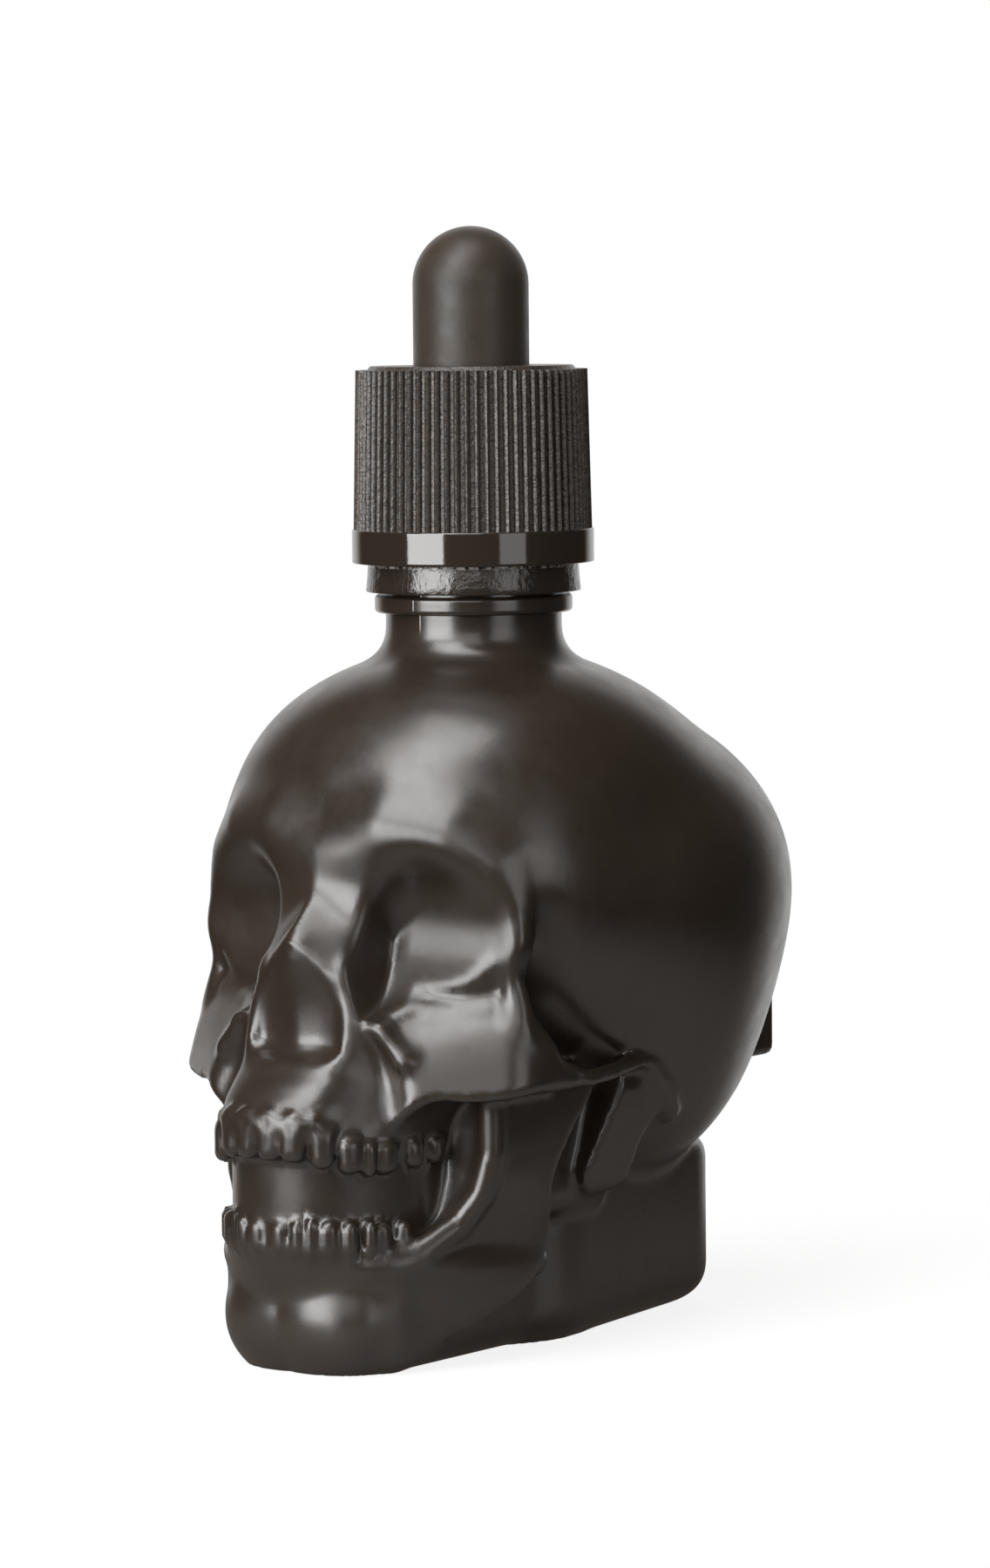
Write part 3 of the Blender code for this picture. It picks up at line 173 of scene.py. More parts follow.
def mix_colours(tree, share, first, second):
    inputs = {"Fac": share, "Color1": first, "Color2": second}
    return add_node(tree, "ShaderNodeMixRGB", inputs).outputs["Color"]


def noise(tree, point, scale, detail=2.0, roughness=0.5):
    inputs = {"Vector": point, "Scale": scale, "Detail": detail, "Roughness": roughness}
    return add_node(tree, "ShaderNodeTexNoise", inputs).outputs["Fac"]


def own_point(tree):
    """The place on the piece, in metres from its origin."""
    return add_node(tree, "ShaderNodeTexCoord").outputs["Object"]


def split_point(tree):
    """The X, Y and Z of that place."""
    return add_node(tree, "ShaderNodeSeparateXYZ", {0: own_point(tree)}).outputs


# %% [markdown]
# Three effects come back in several finishes: a fine mottling of the surface, a grain that
# stands proud, and the thin line that a mould leaves where its halves meet. Each one is a
# node group, so that a material only says how strong and how fine it wants the effect.

# %% Helpers for node groups


def new_group(name, inputs, output):
    """A shader node group: its tree, the sockets that bring its inputs, and that of its output."""
    group = bpy.data.node_groups.new(name, "ShaderNodeTree")
    for label, value in inputs.items():
        socket = group.interface.new_socket(label, in_out="INPUT", socket_type="NodeSocketFloat")
        socket.default_value = value
    group.interface.new_socket(output, in_out="OUTPUT", socket_type="NodeSocketFloat")
    source = group.nodes.new("NodeGroupInput")
    target = group.nodes.new("NodeGroupOutput")
    return group, source.outputs, target.inputs[output]


def use_group(tree, group, inputs):
    return add_node(tree, "ShaderNodeGroup", inputs, node_tree=group).outputs[0]


# %% Mottling: slow variation of colour and of gloss
MOTTLE_RANGE = (0.3, 0.7)      # noise seldom goes past these values

mottle, given, factor = new_group("mottling", {"Scale": 120.0, "Dark": 0.85, "Light": 1.15}, "Factor")
blotches = noise(mottle, own_point(mottle), given["Scale"], 4.0, 0.6)
mottle.links.new(map_range(mottle, blotches, MOTTLE_RANGE, (given["Dark"], given["Light"])), factor)


def mottled(tree, scale, dark, light):
    """A factor between dark and light that changes over the surface."""
    return use_group(tree, mottle, {"Scale": scale, "Dark": dark, "Light": light})


# %% Grain: a height that looks like spark-eroded steel copied into plastic
COARSE_SCALE = 0.35            # of the coarse grain, as a share of the fine one's

grain, given, height = new_group("grain", {"Scale": 3500.0, "Coarse share": 0.4}, "Height")
grain_point = own_point(grain)
fine = noise(grain, grain_point, given["Scale"], 3.0, 0.7)
coarse = noise(grain, grain_point, math_node(grain, "MULTIPLY", given["Scale"], COARSE_SCALE))
coarse = math_node(grain, "MULTIPLY", coarse, given["Coarse share"])
grain.links.new(math_node(grain, "ADD", fine, coarse), height)


def grain_height(tree, scale, coarse_share):
    return use_group(tree, grain, {"Scale": scale, "Coarse share": coarse_share})


# %% Mould line: a thin ridge in the plane x = 0, where the two halves of the mould met
mould_line = {"Half width": 0.00018, "Lowest": 0.0, "Fade": 0.004}
seam, given, height = new_group("mould line", mould_line, "Height")
seam_point = split_point(seam)
across = math_node(seam, "DIVIDE", math_node(seam, "ABSOLUTE", seam_point["X"]), given["Half width"])
line = math_node(seam, "MAXIMUM", math_node(seam, "SUBTRACT", 1.0, across), 0.0)
# Below its lowest point the line has been polished away
above = math_node(seam, "SUBTRACT", seam_point["Z"], given["Lowest"])
left_over = math_node(seam, "MAXIMUM", math_node(seam, "DIVIDE", above, given["Fade"]), 0.0)
left_over = math_node(seam, "MINIMUM", left_over, 1.0)
seam.links.new(math_node(seam, "MULTIPLY", line, left_over), height)
print("node groups:", [group.name for group in bpy.data.node_groups])

# %% [markdown]
# ## Light and floor
#
# The reflections on the smooth band tell how the photograph was lit: a broad soft light to
# the left of the camera, a weaker one to its right, and a white backdrop behind the bottle
# that shows only as a pale line along its outline. Towards the camera the studio is dark.
# Five soft lamps do this here: one low and one high on the left, a faint one in front, one on
# the right and one overhead.
#
# The floor is white to the camera, but the bottle mirrors only a tenth of that white, or
# every dark side would turn grey. A Light Path node tells the two apart.

# %% Floor
WHITE = (1, 1, 1, 1)
ROOM_TINT = (1.0, 0.84, 0.70, 1)    # of the dim light that the bottle mirrors
FLOOR_HALF = 1500
FLOOR_COLOUR = (0.22, 0.22, 0.22, 1)
FLOOR_WHITE = 0.86
FLOOR_REFLECTION = 0.1         # share of its white that the bottle mirrors
FLOOR_EDGE = (0.05, 0.13)      # metres from the bottle over which the floor fades into the room

floor_paint = bpy.data.materials.new("floor paint")
floor_paint.use_nodes = True
tree = floor_paint.node_tree
matte = tree.nodes["Principled BSDF"].inputs
matte["Base Color"].default_value = FLOOR_COLOUR
matte["Roughness"].default_value = 0.7
matte["Specular IOR Level"].default_value = 0.2
ray = add_node(tree, "ShaderNodeLightPath").outputs
seen = math_node(tree, "MAXIMUM", ray["Is Camera Ray"], ray["Is Transmission Ray"])
seen = math_node(tree, "MAXIMUM", seen, math_node(tree, "MULTIPLY", ray["Is Glossy Ray"], FLOOR_REFLECTION))
tree.links.new(math_node(tree, "MULTIPLY", seen, FLOOR_WHITE), matte["Emission Strength"])
tree.links.new(mix_colours(tree, ray["Is Glossy Ray"], WHITE, ROOM_TINT), matte["Emission Color"])
from_bottle = vector_math(tree, "LENGTH", {0: own_point(tree)}, "Value")
fade = map_range(tree, from_bottle, FLOOR_EDGE, (1, 0), interpolation_type="SMOOTHSTEP")
tree.links.new(fade, matte["Alpha"])

corners = [(x * FLOOR_HALF, y * FLOOR_HALF, 0) for x, y in ((-1, -1), (1, -1), (1, 1), (-1, 1))]
made = mesh_object("floor", corners, [(0, 1, 2, 3)], floor_paint)
print("floor", 2 * FLOOR_HALF, "mm wide")

# %% [markdown]
# The world round the bottle is white where it is seen directly. As a source of light it is
# dim and warm, except for the backdrop, which the glass mirrors only at a grazing angle.

# %% The room and its backdrop
ROOM_LIGHT = 0.10
ROOM_REFLECTION = 0.045
BACKDROP_REFLECTION = 1.0
BACKDROP_EDGE = (0.66, 0.88)   # how squarely a ray has to run away from the camera to meet it

room = bpy.data.worlds.new("room")
bpy.context.scene.world = room
room.use_nodes = True
tree = room.node_tree
ray = add_node(tree, "ShaderNodeLightPath").outputs
direction = add_node(tree, "ShaderNodeTexCoord").outputs["Generated"]
squarely = vector_math(tree, "DOT_PRODUCT", {0: direction, 1: ahead}, "Value")
backdrop = map_range(tree, squarely, BACKDROP_EDGE, (ROOM_REFLECTION, BACKDROP_REFLECTION),
                     interpolation_type="SMOOTHSTEP")
mirrored = math_node(tree, "MULTIPLY", ray["Is Glossy Ray"], backdrop)
straight = math_node(tree, "MAXIMUM", ray["Is Camera Ray"], ray["Is Transmission Ray"])
scattered = math_node(tree, "MULTIPLY", ray["Is Diffuse Ray"], ROOM_LIGHT)
strength = math_node(tree, "ADD", math_node(tree, "ADD", mirrored, straight), scattered)
# The dim part of the room is warm, and the backdrop is white
tint = mix_colours(tree, math_node(tree, "MAXIMUM", straight, backdrop), ROOM_TINT, WHITE)
background = tree.nodes["Background"].inputs
tree.links.new(tint, background["Color"])
tree.links.new(strength, background["Strength"])

# %% Lamps, placed by their direction as seen from the bottle
LAMP_TARGET = Vector((0, 0, 0.06))
LAMP_DISTANCE = 0.9


def softbox(name, azimuth, elevation, width, height, power):
    """A rectangular lamp. Azimuth is in degrees from the camera, positive to its right."""
    turn, rise = math.radians(azimuth), math.radians(elevation)
    level = right * math.sin(turn) - ahead * math.cos(turn)
    place = LAMP_TARGET + (level * math.cos(rise) + up * math.sin(rise)) * LAMP_DISTANCE
    lamp = bpy.data.lights.new(name, "AREA")
    lamp.shape = "RECTANGLE"
    lamp.size = width
    lamp.size_y = height
    lamp.energy = power
    aim = (LAMP_TARGET - place).to_track_quat("-Z", "Y").to_matrix().to_4x4()
    add_object(name, lamp).matrix_world = Matrix.Translation(place) @ aim


softbox("left softbox", -46, 10, 0.60, 0.50, 4.8)
softbox("upper left softbox", -38, 46, 0.50, 0.50, 3.4)
softbox("front softbox", -8, 24, 0.50, 0.50, 0.7)
softbox("right softbox", 38, 10, 0.42, 0.50, 0.62)
softbox("overhead softbox", -25, 74, 0.45, 0.45, 2.2)
bpy.context.scene.view_settings.view_transform = "Standard"

# %% [markdown]
# ## The finishes
#
# Everything on this bottle has the same dark brown-black colour, and only the way it takes
# the light tells the pieces apart: a satin coating on the glass, polished plastic on the
# band and the ring, a rough grain on the ribs, and matte rubber on the bulb. So the colours
# below are close to each other, and the gloss and the relief do the work.

# %% Helpers for the finishes
GLOSSY = {"IOR": 1.6, "Specular IOR Level": 1.0}     # the dark finishes mirror more than plain plastic


def new_finish(name, colour, roughness, shader_values, colour_mottling=None):
    """A Principled material: the material, its tree and its inputs."""
    material = bpy.data.materials.new(name)
    material.use_nodes = True
    tree = material.node_tree
    surface = tree.nodes["Principled BSDF"].inputs
    surface["Base Color"].default_value = (*colour, 1)
    surface["Roughness"].default_value = roughness
    for label, value in shader_values.items():
        surface[label].default_value = value
    if colour_mottling:
        shaded = vector_math(tree, "SCALE", {0: colour, "Scale": mottled(tree, *colour_mottling)})
        tree.links.new(shaded, surface["Base Color"])
    return material, tree, surface


def bump(tree, height, strength, distance, below=None):
    """A Bump node over a height, and over another bump where one is given."""
    inputs = {"Height": height, "Strength": strength, "Distance": distance}
    if below:
        inputs["Normal"] = below
    return add_node(tree, "ShaderNodeBump", inputs).outputs["Normal"]


def change_with_height(tree, heights, values):
    """A value that goes from the first to the second between two heights of the piece."""
    return map_range(tree, split_point(tree)["Z"], heights, values)


# %% [markdown]
# The glass is dipped or sprayed with a satin lacquer. It lies smoother on the narrow neck
# than on the skull, and the mould line shows through it only there.

# %% Satin coating on the glass
COATING = (0.033, 0.0225, 0.0155)
NECK_START = (0.069, 0.0725)   # heights in metres
NECK_ROUGHNESS = 0.7           # as a share of the skull's

coated_glass, tree, surface = new_finish("coated glass", COATING, 0.3, GLOSSY, (90.0, 0.88, 1.12))
neck = change_with_height(tree, NECK_START, (1, NECK_ROUGHNESS))
gloss = math_node(tree, "MULTIPLY", mottled(tree, 260.0, 0.26, 0.36), neck)
tree.links.new(gloss, surface["Roughness"])
mist = bump(tree, grain_height(tree, 2600.0, 0.8), 0.05, 0.0001)
line = use_group(tree, seam, {"Half width": 0.00016, "Lowest": 0.071})
tree.links.new(bump(tree, line, 0.6, 0.00012, mist), surface["Normal"])

# %% [markdown]
# The band is plain moulded plastic from a polished mould, with a faint ripple.

# %% Polished plastic of the band and the inner cap
BAND_COLOUR = (0.032, 0.0225, 0.0165)

polished, tree, surface = new_finish("polished plastic", BAND_COLOUR, 0.08, GLOSSY, (150.0, 0.9, 1.1))
tree.links.new(bump(tree, grain_height(tree, 500.0, 1.0), 0.04, 0.0002), surface["Normal"])

# %% [markdown]
# The tamper ring is the same plastic, stretched and crackled when the cap was first opened.
# Along its upper edge runs a thin broken pale line, a painted highlight where that edge would catch the light
# below the band.

# %% The ring's own finish
# Colour of the painted highlight along the ring's upper edge, and the heights between which it is painted
PAINTED_HIGHLIGHT_COLOUR = (0.75, 0.70, 0.66, 1)
PAINTED_HIGHLIGHT_HEIGHTS = (0.0778, 0.0779)   # heights in metres

crackled, tree, surface = new_finish("crackled plastic", BAND_COLOUR, 0.2, GLOSSY, (400.0, 0.85, 1.2))
plain = surface["Base Color"].links[0].from_socket
# The painted highlight is broken into short pieces by a fine mottling
highlight_pieces = mottled(tree, 1600.0, -0.6, 1.4)
painted_highlight = math_node(tree, "MULTIPLY", change_with_height(tree, PAINTED_HIGHLIGHT_HEIGHTS, (0, 1)), highlight_pieces)
tree.links.new(mix_colours(tree, painted_highlight, plain, PAINTED_HIGHLIGHT_COLOUR), surface["Base Color"])
crackle = bump(tree, grain_height(tree, 1100.0, 1.2), 0.35, 0.0003)
line = use_group(tree, seam, {"Half width": 0.00014, "Lowest": -0.01})
tree.links.new(bump(tree, line, 0.7, 0.00015, crackle), surface["Normal"])

# %% [markdown]
# The ribs have a grain for grip, eroded into their mould by sparks. Tiny glossy pits and
# dull ones lie side by side, and that makes the sparkle in the photograph.

# %% Spark-eroded grain of the ribs
RIB_COLOUR = (0.043, 0.031, 0.0225)

grained, tree, surface = new_finish("grained plastic", RIB_COLOUR, 0.4, GLOSSY, (1900.0, 0.5, 1.7))
tree.links.new(mottled(tree, 2500.0, 0.20, 0.42), surface["Roughness"])
tree.links.new(bump(tree, grain_height(tree, 2600.0, 0.5), 0.8, 0.00016), surface["Normal"])

# %% [markdown]
# Rubber scatters light from its surface at a grazing angle. A little sheen gives that bloom.

# %% Matte rubber of the bulb
RUBBER = (0.043, 0.030, 0.0195)
BLOOM = {"Specular IOR Level": 0.7, "Sheen Weight": 0.15, "Sheen Roughness": 0.5}

rubber, tree, surface = new_finish("matte rubber", RUBBER, 0.42, BLOOM, (220.0, 0.88, 1.15))
tree.links.new(mottled(tree, 500.0, 0.38, 0.5), surface["Roughness"])
tree.links.new(bump(tree, grain_height(tree, 1800.0, 1.0), 0.12, 0.0001), surface["Normal"])

# %% Clear glass of the pipette
CLEAR = {"Transmission Weight": 1.0, "IOR": 1.48}

clear_glass, tree, surface = new_finish("clear glass", (0.93, 0.96, 0.95), 0.03, CLEAR)
tree.links.new(mottled(tree, 60.0, 0.02, 0.06), surface["Roughness"])
print("finishes:", [m.name for m in bpy.data.materials])

# %% [markdown]
# ## Turned pieces
#
# The neck, the ring, the cap and the bulb are all turned shapes. Each is one closed section
# of (radius, height) points that is spun round the Z axis. Rounded corners are short arcs
# in that section, so that every edge catches the light as a moulded edge does.

# %% Helpers for turned pieces
SIDES = 144
WELD = 1e-7                    # points this near to each other, in metres, are one
NO_LENGTH = 1e-8               # an edge this short is none


def turned(name, outline, material, sides=SIDES, sharp=35):
    """A closed ring or solid from its section, going up on the outer side."""
    shape = bmesh.new()
    points = [shape.verts.new((radius * MM, 0, height * MM)) for radius, height in outline]
    edges = [shape.edges.new(pair) for pair in zip(points, points[1:] + points[:1])]
    bmesh.ops.spin(shape, geom=points + edges, cent=(0, 0, 0), axis=(0, 0, 1), angle=math.tau,
                   steps=sides, use_merge=True)
    bmesh.ops.remove_doubles(shape, verts=shape.verts, dist=WELD)
    bmesh.ops.dissolve_degenerate(shape, edges=shape.edges, dist=NO_LENGTH)
    bmesh.ops.recalc_face_normals(shape, faces=shape.faces)
    mesh = bpy.data.meshes.new(name)
    shape.to_mesh(mesh)
    shape.free()
    shade(mesh, sharp)
    mesh.materials.append(material)
    return add_object(name, mesh)


def arc(radius, height, size, start, end, steps=5):
    """Points on a round corner of a section, from one angle to another in degrees."""
    angles = [math.radians(start + (end - start) * i / steps) for i in range(steps + 1)]
    return [(radius + size * math.cos(a), height + size * math.sin(a)) for a in angles]


# %% [markdown]
# ## The outer shell of the cap
#
# The shell is a drum that leans in slightly towards the top, so that it leaves its mould.
# Below the ribs runs a smooth band. The top is a low raised disc inside the ribs' ends.

# %% Turn the shell's drum and band
SHELL_BOTTOM = 78.2
SHELL_TOP = 98.0
SHELL_EDGE = 0.15              # rounding of its outer edges
BAND_RADIUS = 12.25
BAND_TOP = 81.6
BAND_FOOT_EDGE = 0.12
BAND_FLAT = (0.3, 0.35)        # how far from its lower and upper end the band's face is plain
RIB_CREST_BOTTOM = 12.05
RIB_CREST_TOP = 11.7
RIB_DEPTH = 0.5
RIB_END = 97.6
DRUM_EDGE_DROP = 0.05
TOP_DISC_RADIUS = 10.3
TOP_DISC_SLOPE = 0.25
BULB_OPENING = 6.25
BULB_OPENING_EDGE = 0.2
SHELL_CEILING = 96.8
SHELL_BORE = 10.75
SKIRT_BORE = 11.45
SKIRT_HEIGHTS = (82.5, 82.0, 79.1, 78.8)       # going down, the bore widens and narrows again
LIP_BORE = 10.97
LIP_MOUTH = 11.1

drum_bottom = RIB_CREST_BOTTOM - RIB_DEPTH
drum_top = RIB_CREST_TOP - RIB_DEPTH
outline = arc(BAND_RADIUS - BAND_FOOT_EDGE, SHELL_BOTTOM + BAND_FOOT_EDGE, BAND_FOOT_EDGE, -90, 0, 3)
# Two more points keep the band's face flat between its rounded edges
outline += [(BAND_RADIUS, SHELL_BOTTOM + BAND_FLAT[0]), (BAND_RADIUS, BAND_TOP - BAND_FLAT[1])]
outline += arc(BAND_RADIUS - SHELL_EDGE, BAND_TOP - SHELL_EDGE, SHELL_EDGE, 0, 90, 4)
outline += [(drum_bottom, BAND_TOP), (drum_top, RIB_END - DRUM_EDGE_DROP)]
outline += arc(drum_top - SHELL_EDGE, RIB_END - SHELL_EDGE, SHELL_EDGE, 40, 90, 3)
outline += [(TOP_DISC_RADIUS + TOP_DISC_SLOPE, RIB_END)]
outline += arc(TOP_DISC_RADIUS - SHELL_EDGE, SHELL_TOP - SHELL_EDGE, SHELL_EDGE, 30, 90, 3)
outline += arc(BULB_OPENING + BULB_OPENING_EDGE, SHELL_TOP - BULB_OPENING_EDGE, BULB_OPENING_EDGE, 90, 180, 3)
bores = (SHELL_BORE, SKIRT_BORE, SKIRT_BORE, LIP_BORE)
outline += [(BULB_OPENING, SHELL_CEILING), (SHELL_BORE, SHELL_CEILING), *zip(bores, SKIRT_HEIGHTS)]
outline += [(LIP_BORE, SHELL_BOTTOM + SHELL_EDGE), (LIP_MOUTH, SHELL_BOTTOM)]
shell = turned("shell_drum", outline, grained)

# %% Give the band its polished finish
BAND_INSIDE = 11.9             # faces nearer to the axis, or this much above the band, aren't its own
BAND_ABOVE = 0.02

shell.data.materials.append(polished)
band_faces = [face for face in shell.data.polygons
              if face.center.z < (BAND_TOP + BAND_ABOVE) * MM and face.center.xy.length > BAND_INSIDE * MM]
for face in band_faces:
    face.material_index = 1
print("shell drum:", triangles(shell), "triangles,", len(band_faces), "faces on the band")

# %% [markdown]
# ## The ribs
#
# There are 72 ribs, all alike, so they are made once and placed by rule. A Geometry Nodes
# tree takes a plain ten-sided bar, flattens it to a rib's section, leans it with the drum,
# and sets it down at each of the 72 turns. Realize Instances makes real faces of the copies.

# %% Start the tree that makes the ribs
RIB_COUNT = 72
RIB_HALF_WIDTH = 0.33
RIB_SIDES = 10
RIB_SEGMENTS = 6


def new_tree(name, inputs):
    """A Geometry Nodes tree with named inputs (name, socket type, value), and its outer sockets."""
    tree = bpy.data.node_groups.new(name, "GeometryNodeTree")
    tree.interface.new_socket("Geometry", in_out="INPUT", socket_type="NodeSocketGeometry")
    for label, kind, value in inputs:
        socket = tree.interface.new_socket(label, in_out="INPUT", socket_type=kind)
        if value is not None:
            socket.default_value = value
    tree.interface.new_socket("Geometry", in_out="OUTPUT", socket_type="NodeSocketGeometry")
    return tree, tree.nodes.new("NodeGroupInput").outputs, tree.nodes.new("NodeGroupOutput").inputs[0]


rib_tree, given, result = new_tree("ribs round a drum", [
    ("Count", "NodeSocketInt", RIB_COUNT),
    ("Bottom", "NodeSocketFloat", BAND_TOP * MM),
    ("Top", "NodeSocketFloat", RIB_END * MM),
    ("Bottom radius", "NodeSocketFloat", drum_bottom * MM),
    ("Top radius", "NodeSocketFloat", drum_top * MM),
    ("Depth", "NodeSocketFloat", RIB_DEPTH * MM),
    ("Half width", "NodeSocketFloat", RIB_HALF_WIDTH * MM),
    ("Finish", "NodeSocketMaterial", None),
])

# %% Shape one rib, and set it down at every turn


def rib_node(kind, inputs=()):
    return add_node(rib_tree, kind, inputs).outputs[0]


def rib_math(operation, *values):
    return math_node(rib_tree, operation, *values)


bar = rib_node("GeometryNodeMeshCylinder", {
    "Vertices": RIB_SIDES, "Side Segments": RIB_SEGMENTS, "Radius": 1.0, "Depth": 1.0})
point = add_node(rib_tree, "ShaderNodeSeparateXYZ", {0: rib_node("GeometryNodeInputPosition")}).outputs
# The plain bar reaches from -0.5 to 0.5, so the share goes from 0 at its foot to 1 at its end
share = rib_math("ADD", point["Z"], 0.5)
rise = rib_math("SUBTRACT", given["Top"], given["Bottom"])
height = rib_math("MULTIPLY_ADD", share, rise, given["Bottom"])
lean = rib_math("SUBTRACT", given["Top radius"], given["Bottom radius"])
wall = rib_math("MULTIPLY_ADD", share, lean, given["Bottom radius"])
outward = rib_math("MULTIPLY_ADD", point["X"], given["Depth"], wall)
across = rib_math("MULTIPLY", point["Y"], given["Half width"])
new_point = rib_node("ShaderNodeCombineXYZ", enumerate((outward, across, height)))
rib = rib_node("GeometryNodeSetPosition", {"Geometry": bar, "Position": new_point})
places = rib_node("GeometryNodePoints", {"Count": given["Count"]})
turn = rib_math("DIVIDE", rib_node("GeometryNodeInputIndex"), given["Count"])
turn = rib_node("ShaderNodeCombineXYZ", {"Z": rib_math("MULTIPLY", turn, math.tau)})
copies = rib_node("GeometryNodeInstanceOnPoints", {"Points": places, "Instance": rib, "Rotation": turn})
real = rib_node("GeometryNodeRealizeInstances", {"Geometry": copies})
finished = rib_node("GeometryNodeSetMaterial", {"Geometry": real, "Material": given["Finish"]})
rib_tree.links.new(finished, result)
print("rib tree:", len(rib_tree.nodes), "nodes")

# %% Run the tree and keep its result as a plain mesh


def run_tree(name, tree, values):
    """The mesh that a Geometry Nodes tree makes with these input values."""
    seed = add_object(name + " seed", bpy.data.meshes.new(name + " seed"))
    step = seed.modifiers.new(name, "NODES")
    step.node_group = tree
    sockets = {item.name: item.identifier for item in tree.interface.items_tree if item.in_out == "INPUT"}
    for label, value in values.items():
        step[sockets[label]] = value
    bpy.context.view_layer.update()
    graph = bpy.context.evaluated_depsgraph_get()
    mesh = bpy.data.meshes.new_from_object(seed.evaluated_get(graph))
    bpy.data.objects.remove(seed)
    mesh.name = name
    return add_object(name, mesh)


ribs = run_tree("ribs", rib_tree, {"Finish": grained})
shade(ribs.data, 50)
print("ribs:", triangles(ribs), "triangles")

# %% [markdown]
# ## The rubber bulb
#
# The bulb is a thin-walled thimble with a round top. Its flange is hidden inside the cap,
# where it seals the rim of the bottle, and its lower end grips the glass pipette.

# %% Turn the bulb
BULB_RADIUS = 5.85
BULB_TOP = 112.0
BULB_ROWS = (98.0, 102.0)      # heights of two more rows of points on its straight side
BULB_FLANGE_RADIUS = 7.6
BULB_FLANGE_EDGE = 0.2
BULB_FLANGE_BOTTOM = 91.6
BULB_FLANGE_TOP = 93.1
BULB_BORE = 3.8                # of the end that grips the pipette
BULB_CHAMBER = 4.6
BULB_CHAMBER_FLOOR = (98.4, 97.6)      # its floor slopes down to the bore

dome = BULB_TOP - BULB_RADIUS
flange = BULB_FLANGE_RADIUS - BULB_FLANGE_EDGE
outline = [(BULB_BORE, BULB_FLANGE_BOTTOM)]
outline += arc(flange, BULB_FLANGE_BOTTOM + BULB_FLANGE_EDGE, BULB_FLANGE_EDGE, -90, 0, 2)
outline += arc(flange, BULB_FLANGE_TOP - BULB_FLANGE_EDGE, BULB_FLANGE_EDGE, 0, 90, 2)
outline += [(BULB_RADIUS, row) for row in (BULB_FLANGE_TOP, *BULB_ROWS)]
outline += arc(0, dome, BULB_RADIUS, 0, 90, 24)[:-1] + [(0, BULB_TOP)]
outline += [(0, dome + BULB_CHAMBER)] + arc(0, dome, BULB_CHAMBER, 90, 0, 12)[1:]
outline += zip((BULB_CHAMBER, BULB_BORE), BULB_CHAMBER_FLOOR)
bulb = turned("rubber_bulb", outline, rubber, 96)
print("bulb:", triangles(bulb), "triangles")

# %% [markdown]
# ## The tamper ring
#
# The ring stays on the neck once its bridges to the cap are broken. Its torn upper edge
# runs up inside the band, a little ragged, and the ring widens downwards.

# %% Turn the ring
RING_BOTTOM = 75.3
RING_TOP = 78.3
RING_BOTTOM_RADIUS = 10.87
RING_TOP_RADIUS = 10.65
RING_FOOT_EDGE = 0.1
RING_TOP_EDGE = 0.2
RING_FACE = ((10.8, 76.1), (10.72, 76.9))      # two more points on its outer face
RING_BORE = 9.0
RING_LIP_BORE = 10.1           # its torn lip stands clear of the locking bead
RING_LIP_START = 77.65

outline = [(RING_BORE, RING_BOTTOM)]
outline += arc(RING_BOTTOM_RADIUS - RING_FOOT_EDGE, RING_BOTTOM + RING_FOOT_EDGE, RING_FOOT_EDGE, -90, 0, 2)
outline += RING_FACE
outline += arc(RING_TOP_RADIUS - RING_TOP_EDGE, RING_TOP - RING_TOP_EDGE, RING_TOP_EDGE, 0, 90, 3)
outline += [(RING_LIP_BORE, RING_TOP), (RING_LIP_BORE, RING_LIP_START), (RING_BORE, RING_LIP_START)]
ring = turned("ring", outline, crackled, 288, 50)
print("ring:", triangles(ring), "triangles")

# %% Make its upper edge ragged, by waves of random height round the ring
RAGGED_SEED = 7
RAGGED_WAVES = 14
RAGGED_PER_TURN = (5, 60)
RAGGED_SHARES = (0.3, 1)
RAGGED_HEIGHT = 0.045
RAGGED_BELOW = 0.5             # how far down the edge is moved
RAGGED_OUTSIDE = 10.2          # radius from which it is moved

rng = np.random.default_rng(RAGGED_SEED)
waves = [(int(n), rng.uniform(0, math.tau), rng.uniform(*RAGGED_SHARES))
         for n in rng.integers(*RAGGED_PER_TURN, RAGGED_WAVES)]
for vertex in ring.data.vertices:
    if vertex.co.z < (RING_TOP - RAGGED_BELOW) * MM or vertex.co.xy.length < RAGGED_OUTSIDE * MM:
        continue
    angle = math.atan2(vertex.co.y, vertex.co.x)
    ragged = sum(size * math.sin(n * angle + start) for n, start, size in waves)
    vertex.co.z += RAGGED_HEIGHT * ragged * MM
print("waves per turn:", [n for n, _, _ in waves])

# %% [markdown]
# ## The glass skull
#
# The real bottle is blown in a steel mould of two halves that part sideways, along X. The
# skull could be sculpted by hand, or built from a cage of patches under a Subdivision modifier.
# Here it is built like clay instead: each lump, ridge and hollow is a formula for the
# distance from any point to its surface, negative inside. Two formulas are joined, or one
# cut from the other, with a soft seam of a chosen width, as a thumb would smooth it. The
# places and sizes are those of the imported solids, on a finer grid. Only the wall between the
# rows of teeth is changed here, so that it runs out gently on the chin.
#
# The tools come first: an egg, a bar that tapers, a box with round edges, an upright
# wall that is round at the front, and a curve through values at given heights.

# %% Clay tools
TINY = 1e-6
# Widths of a soft seam
CRISP = 0.5
FIRM = 1.0
SOFT = 2.0
BROAD = 4.0


def ball(p, centre, radii, lean=0.0):
    """An egg of three half sizes. lean turns it about X in degrees, its top towards -Y."""
    x, y, z = (a - c for a, c in zip(p, centre))
    s, c = math.sin(math.radians(lean)), math.cos(math.radians(lean))
    leaned = (x, y * c + z * s, z * c - y * s)
    share = [a / r for a, r in zip(leaned, radii)]
    size = np.sqrt(sum(a * a for a in share)) + TINY
    slope = np.sqrt(sum((a / r) ** 2 for a, r in zip(share, radii))) + TINY
    return size * (size - 1) / slope


